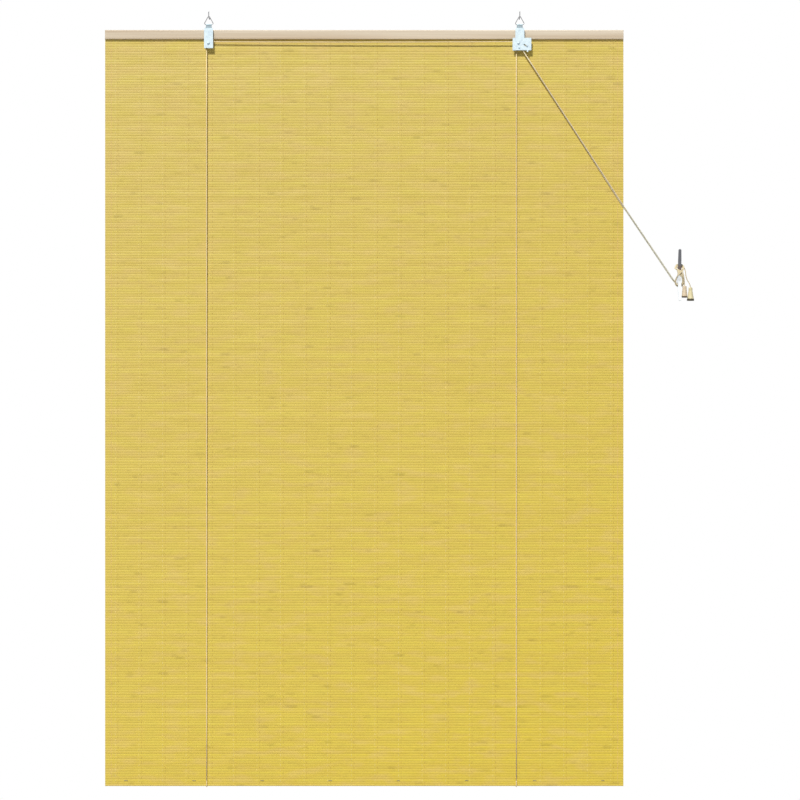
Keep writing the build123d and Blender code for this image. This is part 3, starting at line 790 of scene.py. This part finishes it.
@dataclass
class Strand:
    """A round cord along the smooth spline that its route's points, in millimetres, control.

    The spline takes as many steps from one point to the next as its fineness says, and where two of its
    points are closer than apart, only the first is kept.
    """

    name: str
    route: Route
    fineness: int
    radius: float = CORD_DIAMETER / 2
    finish: Finish = CORD
    closed: bool = False
    sides: int = 10
    apart: float = 1e-7
    line: np.ndarray = field(init=False)

    def __post_init__(self) -> None:
        """Read the line that the cord follows."""
        self.line = self.spline_points()

    @property
    def length(self) -> float:
        """The cord's length in metres."""
        return float(steps(self.line).sum())

    def spline_points(self) -> np.ndarray:
        """Read points from the smooth spline.

        Returns:
            The points along the line in metres, one row each.
        """
        data = bpy.data.curves.new("line", "CURVE")
        data.dimensions = "3D"
        data.resolution_u = self.fineness
        spline = data.splines.new("NURBS")
        spline.points.add(len(self.route) - 1)
        for point, place in zip(spline.points, self.route):
            point.co = (*(value * MM for value in place), 1.0)
        spline.order_u = min(3, len(self.route))
        spline.use_endpoint_u = not self.closed
        spline.use_cyclic_u = self.closed
        holder = add_object("line", data)
        bpy.context.view_layer.update()
        mesh = bpy.data.meshes.new_from_object(holder)
        line = np.array([vertex.co[:] for vertex in mesh.vertices])
        bpy.data.objects.remove(holder)
        bpy.data.meshes.remove(mesh)
        bpy.data.curves.remove(data)
        return line[np.concatenate([[True], steps(line) > self.apart])]

    def rings(self) -> np.ndarray:
        """Stand a ring of vertices square to the line at each of its points.

        Returns:
            The vertices in metres, ring after ring.
        """
        line = self.line
        ahead = np.roll(line, -1, axis=0) - np.roll(line, 1, axis=0)
        if not self.closed:
            ahead[0] = line[1] - line[0]
            ahead[-1] = line[-1] - line[-2]
        ahead /= np.linalg.norm(ahead, axis=1)[:, None]
        guide = np.array([0.0, 1.0, 0.0]) if abs(ahead[0][1]) < 0.9 else np.array([1.0, 0.0, 0.0])
        out = np.cross(ahead[0], guide)
        angles = np.arange(self.sides) * 2.0 * math.pi / self.sides
        rings = []
        for place, way in zip(line, ahead):
            out = out - way * np.dot(out, way)
            out /= np.linalg.norm(out)
            over = np.cross(way, out)
            ring = np.outer(np.cos(angles), out) + np.outer(np.sin(angles), over)
            rings.append(place + self.radius * ring)
        return np.concatenate(rings)

    def build(self) -> Object:
        """Make the cord's tube.

        Returns:
            The new object.
        """
        line, count, skin = self.line, len(self.line), Skin(self.sides)
        along = np.concatenate([[0.0], np.cumsum(steps(line))])
        for ring in range(count - 1):
            skin.join(ring, ring + 1, along[ring], along[ring + 1])
        if self.closed:
            skin.join(count - 1, 0, along[-1], along[-1] + float(np.linalg.norm(line[0] - line[-1])))
        else:
            skin.cap(count - 1)
        return mesh_piece(self.name, self.rings(), skin.faces, self.finish, skin.uv)


def dress(node: str, finish: Finish) -> None:
    """Give a CAD node its finish.

    Args:
        node: The node's name.
        finish: The finish that replaces its plain one.
    """
    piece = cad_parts[node]
    for slot in piece.material_slots:
        slot.material = finish.material()
    if not piece.material_slots:
        piece.data.materials.append(finish.material())
    LOG.info("dressed %s in %s", node, finish.name)


class ProfileRow(NamedTuple):
    """A row of a slat's section: its drop below the slat's top, its depth and how much painted shade it
    gets.
    """

    drop: float
    depth: float
    dark: float


@dataclass(frozen=True)
class Slat:
    """One slat of the wall: where it hangs, how its edges wander, and its own tone and bamboo nodes."""

    top: float
    tall: float
    upper: np.ndarray
    lower: np.ndarray
    tone: float
    joint: float

    def heights(self, share: float, straight: bool) -> np.ndarray:
        """Return the heights of the row at that share of the slat's height, straight or wandering."""
        wander = self.upper * (1 - share) + self.lower * share
        return self.top - share * self.tall + wander * (0.0 if straight else 1.0)


@dataclass
class SlatRows:
    """The wall's vertices, in rows from left to right, with the marks that the bamboo's shader reads."""

    across: list[float]
    points: list[Point] = field(default_factory=list)
    marks: dict[str, list[float]] = field(default_factory=dict)

    def add(self, slat: Slat, heights: np.ndarray, y: float, dark: float) -> list[int]:
        """Add a row.

        Args:
            slat: The slat that it is part of.
            heights: The Z of each vertex.
            y: The row's Y.
            dark: How much painted shade the row gets.

        Returns:
            The numbers of its vertices.
        """
        start, count = len(self.points), len(self.across)
        self.points += [(x, y, z) for x, z in zip(self.across, heights.tolist())]
        for name, value in (("deep", dark), ("tone", slat.tone), ("joint", slat.joint)):
            self.marks.setdefault(name, []).extend([value] * count)
        return list(range(start, start + count))


@dataclass
class Mat:
    """The woven mat: slats one under the other, held by twined warp threads."""

    width: float = 1.5
    front: float = -22.7 * MM
    thickness: float = 1.8 * MM
    top: float = -41.0 * MM
    pitch: float = 7.385 * MM
    slats: int = 295
    hem: float = 4.7 * MM
    stations: int = 15
    groove: float = 0.5 * MM
    shoulder: float = 0.26 * MM
    crown: float = 0.16 * MM
    lean: float = 0.12 * MM
    wander: float = 0.22 * MM
    carried: float = 0.75
    edge_share: tuple[float, float] = (0.08, 0.12)
    side_share: tuple[float, float] = (0.27, 0.38)
    # How much painted shade the groove, the shoulder, the crown and the back of each slat get.
    groove_shade: float = 1.0
    shoulder_shade: float = 0.55
    crown_shade: float = 0.06
    back_dark: float = 0.2
    thread: float = 0.6 * MM
    thread_sides: int = 3
    twine: float = 0.3 * MM
    twine_lag: float = 0.6
    pair_gap: float = 7.4 * MM
    edge_gap: float = 0.7 * MM
    first_warp: float = -0.713
    warp_pitch: float = 0.0683
    warps: int = 22
    edge_warps: tuple[float, float] = (-0.7325, 0.7335)
    rail_bottom: float = -64.0 * MM
    under_rail: float = 0.4 * MM
    proud: float = 0.05 * MM
    sunk: float = 0.27 * MM
    lift: float = 2.0
    seed: int = 17

    @property
    def back(self) -> float:
        """The Y of the mat's back."""
        return self.front + self.thickness

    @property
    def drop(self) -> float:
        """The mat's full height."""
        return self.pitch * self.slats

    def build(self) -> None:
        """Make the slats and the threads."""
        slats = self.slat_wall()
        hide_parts("bamboo_mat")
        lines = [self.first_warp + number * self.warp_pitch for number in range(self.warps)]
        pale = [(x - self.pair_gap, 1.0) for x in lines]
        # The brown threads carry painted shade beside each warp line as well as their own colour.
        brown = [(x, -1.0) for x in lines]
        edges = [(x + side * self.edge_gap, side) for x in self.edge_warps for side in (-1.0, 1.0)]
        for piece in (
            slats,
            self.warp_threads("pale_warp_threads", pale, PALE_WARP),
            self.warp_threads("brown_warp_threads", brown, BROWN_WARP),
            self.warp_threads("edge_warp_threads", edges, EDGE_WARP),
        ):
            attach(piece, Body.BLIND.value)
            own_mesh(piece)
            LOG.info("built %s: %d faces", piece.name, len(piece.data.polygons))

    def face_profile(self, chance: random.Random) -> list[ProfileRow]:
        """Draw the front of one slat's section, from groove to groove.

        Args:
            chance: The source of small differences between slats.

        Returns:
            The section's rows, from the top downwards.
        """
        crown = chance.uniform(0.0, self.crown)
        edge = self.pitch * chance.uniform(*self.edge_share)
        side = self.pitch * chance.uniform(*self.side_share)
        shoulder = self.shoulder + crown * 0.5
        return self.mirrored(
            ProfileRow(0.0, self.groove, self.groove_shade),
            ProfileRow(edge, shoulder, self.shoulder_shade),
            ProfileRow(side, crown, self.crown_shade),
        )

    def back_profile(self) -> list[ProfileRow]:
        """Return the flatter back of every slat's section, from the top downwards."""
        top = ProfileRow(0.0, self.groove, self.groove_shade)
        return self.mirrored(top, ProfileRow(self.groove, 0.0, self.back_dark))

    def mirrored(self, *rows: ProfileRow) -> list[ProfileRow]:
        """Return the rows of a slat's upper half and, mirrored, those of its lower half."""
        return [*rows, *(row._replace(drop=self.pitch - row.drop) for row in reversed(rows))]

    def sway(self, chance: random.Random) -> np.ndarray:
        """Draw how an edge wanders along its slat."""
        return np.array([chance.uniform(-1, 1) for _ in range(self.stations)]) * self.wander

    def slat_wall(self) -> Object:
        """Build the slats as one wall of separate ridges, each a little different.

        Returns:
            The slats' object.
        """
        chance = random.Random(self.seed)
        wall = SlatRows(np.linspace(-self.width / 2, self.width / 2, self.stations).tolist())
        fronts: list[Rows] = []
        backs: list[Rows] = []
        sway = self.sway(chance)
        for number in range(self.slats + 1):
            first, last = number == 0, number == self.slats
            tone, joint = chance.random(), chance.uniform(0.0, INTERNODE)
            following = self.carried * sway + (1 - self.carried) * self.sway(chance)
            tall = self.hem if last else self.pitch
            slat = Slat(self.top - number * self.pitch, tall, sway, following, tone, joint)
            face = self.front + chance.uniform(0.0, self.lean)
            rows = self.face_profile(chance)
            fronts.append([])
            for row in rows:
                straight = (first and row is rows[0]) or (last and row is rows[-1])
                heights = slat.heights(row.drop / self.pitch, straight)
                fronts[-1].append(wall.add(slat, heights, face + row.depth, row.dark))
            backs.append([
                wall.add(slat, slat.heights(row.drop / self.pitch, last), self.back - row.depth, row.dark)
                for row in self.back_profile()
            ])
            sway = following
        faces = self.wall_faces(fronts, backs)
        flat = [(wall.points[corner][0], wall.points[corner][2]) for face in faces for corner in face]
        piece = mesh_piece("bamboo_slats", wall.points, faces, BAMBOO, flat, smooth=False)
        for name, values in wall.marks.items():
            layer = piece.data.attributes.new(name, "FLOAT", "POINT")
            layer.data.foreach_set("value", np.asarray(values, np.float32))
        return piece

    def wall_faces(self, fronts: list[Rows], backs: list[Rows]) -> list[Face]:
        """Close the wall round its rows.

        Args:
            fronts: Each slat's front rows of vertex numbers, from the top downwards.
            backs: Each slat's back rows.

        Returns:
            The wall's faces.
        """
        faces: list[Face] = []
        for front, back in zip(fronts, backs):
            for rows, turned in ((front, False), (back, True)):
                for upper, lower in zip(rows, rows[1:]):
                    faces += self.strip(upper, lower, turned)
            for end in (0, -1):
                ring = [row[end] for row in (*front, *reversed(back))]
                faces.append(tuple(ring if end else reversed(ring)))
        faces += self.strip(fronts[0][0], backs[0][0], True)
        return faces + self.strip(fronts[-1][-1], backs[-1][-1], False)

    @staticmethod
    def strip(upper: Sequence[int], lower: Sequence[int], turned: bool) -> list[Face]:
        """Join two rows of vertices with quads, which face into the wall if turned."""
        quads = zip(upper, lower, lower[1:], upper[1:])
        return [quad[::-1] if turned else quad for quad in quads]

    def warp_threads(self, name: str, places: list[tuple[float, float]], finish: Finish) -> Object:
        """Weave a thread down the mat at each place, over one slat and behind the next.

        Args:
            name: The piece's name.
            places: Each thread's X, and 1 or -1 for the slats that it passes over.
            finish: What the threads are dressed in.

        Returns:
            The threads' object.
        """
        sides, skin = self.thread_sides, Skin(self.thread_sides)
        heights = self.top - np.arange(0.5, self.slats, 0.5) * self.pitch
        count = len(heights)
        quarter = np.arange(count) * math.pi / 2
        ahead = np.where(heights > self.rail_bottom, self.front + self.under_rail, self.front - self.proud)
        behind = self.back - self.sunk
        middle = (self.front + self.back) / 2
        angles = np.arange(sides) * 2 * math.pi / sides + math.pi / 6
        ring = np.stack([np.cos(angles), np.sin(angles), np.zeros(sides)], axis=1) * self.thread
        points: list[np.ndarray] = []
        for number, (x, hand) in enumerate(places):
            swing = np.cos(quarter) * hand
            y = np.where(swing > 0, middle + (behind - middle) * swing, middle - (ahead - middle) * swing)
            across = x + self.twine * np.sin(quarter + self.twine_lag)
            line = np.stack([across, y, heights], axis=1)
            points.append((line[:, None, :] + ring[None]).reshape(-1, 3))
            for step in range(count - 1):
                low = number * count + step
                skin.join(low, low + 1, step * self.pitch / 2, (step + 1) * self.pitch / 2)
        return mesh_piece(name, np.concatenate(points), skin.faces, finish, skin.uv)


@dataclass
class Knot:
    """An overhand stopper knot: a strand that loops through itself."""

    name: str
    middle: Point
    reach: float = 1.85
    strand: float = 1.15

    def build(self) -> Object:
        """Make the knot.

        Returns:
            The knot's object.
        """
        turns: Route = [
            (0.0, -0.95, 0.25), (0.95, -0.45, -0.45), (0.75, 0.6, -0.1), (-0.15, 0.9, 0.5),
            (-0.95, 0.35, -0.1), (-0.55, -0.75, -0.5), (0.35, -0.6, 0.35), (0.9, 0.2, 0.75),
            (0.1, 0.85, -0.55), (-0.8, 0.5, 0.7), (-0.85, -0.5, 0.1),
        ]
        route = [tuple(self.middle[axis] + self.reach * turn[axis] for axis in range(3)) for turn in turns]
        return Strand(self.name, route, 10, self.strand * MM, closed=True).build()


@dataclass
class LiftCord:
    """One lift cord: down the mat's face, round the bottom batten and up behind."""

    side: Side
    x: float
    lead_y: float
    lead_top: float = -81.55
    foot: float = -2208.775
    front_y: float = -24.4
    back_y: float = -11.15
    turn_foot: float = -2226.775
    turn_top: float = -2209.075
    bulge: float = 1.7
    end_shift: float = -16.0
    end_y: float = -19.2
    end_top: float = -54.4625
    knot_y: float = -17.9
    knot_rise: float = 3.0
    upright: float = 300.0
    lift: float = 2000.0

    def build(self) -> None:
        """Make the three stretches and the knot over the staple."""
        name = self.side.value
        front = [(self.x, self.lead_y, self.lead_top), (self.x, self.front_y, self.foot)]
        back = [
            (self.x, self.back_y, self.foot),
            (self.x, self.back_y, self.foot + self.upright),
            (self.x + self.end_shift, self.end_y, self.end_top),
        ]
        self.stretch(f"lift_cord_{name}_front", front, self.lead_top)
        self.stretch(f"lift_cord_{name}_back", back, self.end_top)
        turn = [
            (self.x, self.front_y, self.turn_top),
            (self.x, self.front_y - self.bulge, self.turn_foot),
            (self.x, self.back_y + self.bulge, self.turn_foot),
            (self.x, self.back_y, self.turn_top),
        ]
        piece = Strand(f"lift_turn_{name}", turn, 16).build()
        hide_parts(f"lift_cord_{name}_turn")
        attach(piece, Body.BOTTOM.value)
        middle = (self.x + self.end_shift, self.knot_y, self.end_top + self.knot_rise)
        knot = Knot(f"lift_knot_{name}", middle, reach=1.6, strand=1.1).build()
        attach(knot, Body.BLIND.value)
        LOG.info("built the %s lift cord", name)

    def stretch(self, node: str, route: Route, anchor: float) -> None:
        """Make one stretch.

        Args:
            node: The CAD node that it stands for.
            route: Its points in millimetres.
            anchor: The height of its fixed end in millimetres, not used.
        """
        piece = Strand(f"{node}_strand", route, 12).build()
        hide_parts(node)
        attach(piece, Body.BLIND.value)
        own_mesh(piece)


@dataclass
class HeadrailCords:
    """The cords inside the headrail's gap: left pulley to lock, and over the lock's back pulley."""

    left_x: float = -456.0
    right_x: float = 440.0
    gate_x: float = 452.0
    exit_x: float = 459.3
    middle_y: float = -29.3
    front_y: float = -31.95
    back_y: float = -26.65
    stub_z: float = -81.5
    top_z: float = -71.5
    gate_z: float = -86.5
    exit_z: float = -97.8
    left_bend: float = 1.2
    lock_bend: float = 0.7
    level: float = 17.0
    sag_x: float = 10.0
    sag: float = 1.5

    def build(self) -> None:
        """Make both cords."""
        bend = self.lock_bend
        long_run = [
            (self.left_x, self.middle_y, self.stub_z),
            (self.left_x - self.left_bend, self.middle_y, self.top_z + self.left_bend),
            (self.left_x + self.level, self.middle_y, self.top_z),
            (self.sag_x, (self.middle_y + self.front_y) / 2, self.top_z - self.sag),
            (self.gate_x - self.level, self.front_y, self.top_z),
            (self.gate_x + bend, self.front_y, self.top_z + bend),
            (self.gate_x, self.front_y, self.gate_z),
            (self.exit_x, self.front_y, self.exit_z),
        ]
        short_run = [
            (self.right_x, self.back_y, self.stub_z),
            (self.right_x - bend, self.back_y, self.top_z + bend),
            (self.gate_x + bend, self.back_y, self.top_z + bend),
            (self.gate_x, self.back_y, self.gate_z),
            (self.exit_x, self.back_y, self.exit_z),
        ]
        for node, route in (("headrail_cord", long_run), ("lock_cord", short_run)):
            strand = Strand(f"{node}_strand", route, 16)
            piece = strand.build()
            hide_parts(node)
            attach(piece, Body.BLIND.value)
            LOG.info("built %s: %.0f mm", node, strand.length / MM)


@dataclass
class PullCord:
    """A pull cord: out of the lock, wound on the cleat in a figure of eight, and down to its tassel."""

    letter: str
    route: Route
    knot: Point
    replaces: tuple[str, ...]
    tassel: str
    leave_blind: Point = (0.752, -0.026, -0.551)
    reach_wall: Point = (0.863, -0.019, -0.713)

    def build(self) -> None:
        """Make the cord in one length, and its knot."""
        strand = Strand(f"pull_cord_{self.letter}_strand", self.route, 12, finish=PULL_CORD)
        piece = strand.build()
        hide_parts(*self.replaces)
        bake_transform(piece)
        knot = Knot(f"tassel_knot_{self.letter}", self.knot).build()
        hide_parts("tassel_knots")
        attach(knot, Body.WALL.value)
        LOG.info("built pull cord %s: %.0f mm", self.letter, strand.length / MM)


@dataclass
class CleatWinding:
    """The two pull cords on the cleat, side by side, each turn a little wider than the last."""

    x: float = 913.0
    z: float = -746.0
    step: float = 2.95
    crossing: float = 5.5
    half_width: float = 9.6
    widening: float = 2.3
    horn_y: float = -8.4
    horn_reach: float = 25.2
    first_shift: float = -4.4
    up_face: float = -22.8
    down_face: float = -25.9

    def half_turn(self, number: int, beside: float, up: bool) -> Route:
        """Lay a cord behind one horn and across the cleat's face to the far side of the other.

        Args:
            number: Which turn it is, from 0.
            beside: How far this cord lies from its neighbour, in cord widths.
            up: Whether it goes behind the lower horn and then upwards.

        Returns:
            The route's points in millimetres.
        """
        sign = 1.0 if up else -1.0
        wide = self.half_width + self.widening * number + 0.5 * beside
        deep = self.horn_y - self.step * beside
        tall = self.horn_reach + self.step * number
        shift = self.first_shift + 2 * self.step * number + self.step * beside
        face = self.up_face if up else self.down_face
        lean = 0.135 * shift
        rows = [
            (-wide, -sign * 19.0, -15.0),
            (-0.66 * wide, -sign * tall, deep - 0.8),
            (0.0, -sign * (tall + 1.4), deep),
            (0.66 * wide, -sign * tall, deep - 0.8),
            (wide, -sign * 19.0, -14.6),
            (wide - 2.6, self.crossing - sign * (11.5 - lean), -20.6),
            (5.6, self.crossing - sign * (5.0 - shift), face),
            (-5.6, self.crossing + sign * (5.0 + shift), face),
            (-wide + 2.6, self.crossing + sign * (11.5 + lean), -20.6),
        ]
        return [(self.x + across, y, self.z + rise) for across, rise, y in rows]

    def turns(self, count: int, beside: float) -> Route:
        """Wind a cord on, from behind the lower horn.

        Args:
            count: How many whole turns it makes before the last one, which ends behind the upper horn.
            beside: How far it lies from its neighbour, in cord widths.

        Returns:
            The route's points in millimetres, without the first, which the lead stands in for.
        """
        rows: Route = []
        for number in range(count + 1):
            rows += self.half_turn(number, beside, True) + self.half_turn(number, beside, False)
        return rows[1:-5]

    def build(self) -> None:
        """Make both pull cords."""
        lead_a = [
            (459.4, -31.95, -97.96), (742.2, -27.6, -533.6), (751.4, -27.6, -547.8),
            (761.2, -26.9, -562.2), (887.6, -16.6, -747.4), (897.3, -15.6, -761.5),
        ]
        tail_a = [
            (926.8, -16.5, -724.0), (922.6, -25.0, -730.0), (920.2, -29.4, -736.0), (923.2, -30.0, -745.0),
            (925.0, -27.8, -756.0), (926.4, -23.4, -767.0), (927.0, -20.5, -777.0), (927.0, -20.5, -788.0),
        ]
        PullCord(
            letter="a",
            route=[*lead_a, *self.turns(2, 0.0), *tail_a],
            knot=(927.0, -20.5, -792.2),
            replaces=("pull_cord_a", "tail_cord_a", "cleat_winding"),
            tassel="tassel_a",
        ).build()
        lead_b = [
            (459.4, -26.65, -97.96), (739.8, -24.6, -534.5), (749.2, -24.6, -548.8),
            (758.8, -23.9, -562.8), (885.4, -13.6, -749.0), (895.2, -12.6, -763.1),
        ]
        tail_b = [
            (928.4, -15.4, -727.5), (930.6, -16.2, -738.0), (931.2, -16.0, -748.0), (934.8, -15.0, -759.6),
            (942.0, -13.4, -769.8), (945.0, -12.6, -779.5), (945.0, -12.6, -790.0), (945.0, -12.6, -794.6),
        ]
        PullCord(
            letter="b",
            route=[*lead_b, *self.turns(1, 1.0), *tail_b],
            knot=(945.0, -12.6, -798.3),
            replaces=("pull_cord_b", "tail_cord_b"),
            tassel="tassel_b",
        ).build()


@dataclass
class Fittings:
    """The metal, wooden and moulded fittings that keep their CAD shapes."""

    thread_pitch: float = 1.3
    thread_start: float = 2.0
    thread_rise: float = 0.42
    thread_half: float = 0.38
    thread_clear: float = 0.15
    thread_foot: float = -0.02
    taper: float = 14.0
    steps_per_turn: int = 14

    def build(self) -> None:
        """Dress every fitting and cut its screw threads."""
        finishes: dict[Finish, tuple[str, ...]] = {
            WIRE: (
                "screw_hook_left", "screw_hook_right", "hanging_loop_left", "hanging_loop_right",
                "mat_staples", "cord_staples", "batten_staples", "bracket_screws",
            ),
            SCREW: ("cleat_screws",),
            ZINC: ("bracket_left", "bracket_lock"),
            RIVET: ("pulley_rivet_left", "lock_pulley_rivet", "lock_guide_pin", "lock_roller_pin"),
            PULLEY: ("pulley_left", "lock_pulley_front", "lock_pulley_back"),
            BRASS: ("lock_roller",),
            HEADRAIL_WOOD: ("headrail",),
            BATTEN_WOOD: ("bottom_batten",),
            CAST: ("wall_cleat",),
            TASSEL_PEACH: ("tassel_a",),
            TASSEL_STRAW: ("tassel_b",),
        }
        for finish, nodes in finishes.items():
            for node in nodes:
                dress(node, finish)
        self.screw_thread("hook_thread_left", -450.0, 0.0, 18.0, 1.32)
        self.screw_thread("hook_thread_right", 450.0, 0.0, 18.0, 1.32)
        self.screw_thread("cleat_thread_upper", 913.0, -734.0, 20.0, 1.55)
        self.screw_thread("cleat_thread_lower", 913.0, -758.0, 20.0, 1.55)

    def screw_thread(self, name: str, x: float, z: float, end: float, core: float) -> None:
        """Wind a thread's ridge round a screw that runs into the wall.

        Args:
            name: The piece's name.
            x: The screw's X in millimetres.
            z: The screw's Z.
            end: The Y where the thread ends.
            core: The radius of the screw's core.
        """
        run = end - self.thread_start
        turns = run / self.thread_pitch
        count = int(turns * self.steps_per_turn)
        share = np.linspace(0.0, 1.0, count)
        angle = share * turns * 2 * math.pi
        fade = np.clip(np.minimum(share, 1 - share) * self.taper, 0.0, 1.0)
        half, foot = self.thread_half, self.thread_foot
        rows = []
        for offset, rise in ((-half, foot), (0.0, self.thread_rise), (half, foot)):
            radius = core + self.thread_clear + rise * fade
            y = self.thread_start + share * run + offset
            rows.append(np.stack([x + radius * np.cos(angle), y, z + radius * np.sin(angle)], axis=1))
        faces = [
            (low, low + 1, low + count + 1, low + count)
            for step in range(count - 1) for low in (step, count + step)
        ]
        piece = mesh_piece(name, np.concatenate(rows) * MM, faces, WIRE)
        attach(piece, Body.WALL.value)


@dataclass
class Studio:
    """The camera, the lights and the pale floor."""

    distance: float = 9.0
    centre: tuple[float, float] = (0.1034, -1.1074)
    frame_width: float = 2.3144
    sensor: float = 36.0
    object_y: float = -0.026
    view_reach: float = 100.0
    floor_z: float = -3.0
    floor_reach: float = 9.0
    floor_back: float = 5.4
    floor_grey: Colour = (0.55, 0.55, 0.55)
    floor_rough: float = 0.9
    floor_glow: float = 0.45
    sky: float = 0.15
    sun: float = 3.6
    sun_from: Point = (-0.36, -1.0, 1.28)
    sun_place: Point = (-2.0, -5.0, 4.0)
    sun_angle: float = 8.0
    white: Colour = (1.0, 1.0, 1.0)

    def build(self) -> None:
        """Set up the picture."""
        bpy.context.scene.view_settings.view_transform = "Standard"
        self.camera()
        self.world()
        self.lamp()
        self.floor()

    def camera(self) -> None:
        """Stand the camera straight in front, far enough that the blind's edges look parallel."""
        data = bpy.data.cameras.new("camera")
        data.sensor_width = self.sensor
        data.lens = self.sensor * (self.distance + self.object_y) / self.frame_width
        data.clip_end = self.view_reach
        camera = add_object("camera", data)
        camera.location = (self.centre[0], -self.distance, self.centre[1])
        camera.rotation_euler = (math.pi / 2, 0.0, 0.0)
        bpy.context.scene.camera = camera

    def world(self) -> None:
        """Light the room evenly, and show white behind the object."""
        world = bpy.data.worlds.new("room")
        world.use_nodes = True
        bpy.context.scene.world = world
        graph = Graph(world.node_tree)
        back = world.node_tree.nodes["Background"].inputs
        graph.feed(back["Color"], self.white)
        graph.feed(back["Strength"], graph.remap(graph.seen(), 0.0, 1.0, self.sky, 1.0))

    def lamp(self) -> None:
        """Hang the main light high in front, a little to the left."""
        data = bpy.data.lights.new("main_light", "SUN")
        data.energy = self.sun
        data.angle = math.radians(self.sun_angle)
        lamp = add_object("main_light", data)
        lamp.rotation_euler = (-Vector(self.sun_from)).to_track_quat("-Z", "Y").to_euler()
        lamp.location = self.sun_place

    def floor(self) -> None:
        """Lay a pale floor that keeps the object's shadow."""
        reach = self.floor_reach
        edges = ((-reach, -reach), (reach, -reach), (reach, self.floor_back), (-reach, self.floor_back))
        mesh = bpy.data.meshes.new("floor")
        mesh.from_pydata([(x, y, self.floor_z) for x, y in edges], [], [(0, 1, 2, 3)])
        floor = add_object("floor", mesh)
        material = bpy.data.materials.new("floor")
        material.use_nodes = True
        graph = Graph(material.node_tree)
        inputs = material.node_tree.nodes["Principled BSDF"].inputs
        for name, value in (
            ("Base Color", self.floor_grey), ("Roughness", self.floor_rough), ("Specular IOR Level", 0.0),
            ("Emission Color", self.white),
            ("Emission Strength", graph.times(graph.seen(), self.floor_glow)),
        ):
            graph.feed(inputs[name], value)
        mesh.materials.append(material)


def main() -> None:
    """Build the blind's pieces in order and report each."""
    logging.basicConfig(level=logging.INFO, format="%(message)s")
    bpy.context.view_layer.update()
    Studio().build()
    Fittings().build()
    CleatWinding().build()
    HeadrailCords().build()
    LiftCord(Side.LEFT, -456.0, -29.3).build()
    LiftCord(Side.RIGHT, 440.0, -26.65).build()
    Mat().build()
    bpy.context.view_layer.update()


if __name__ == "__main__":
    main()
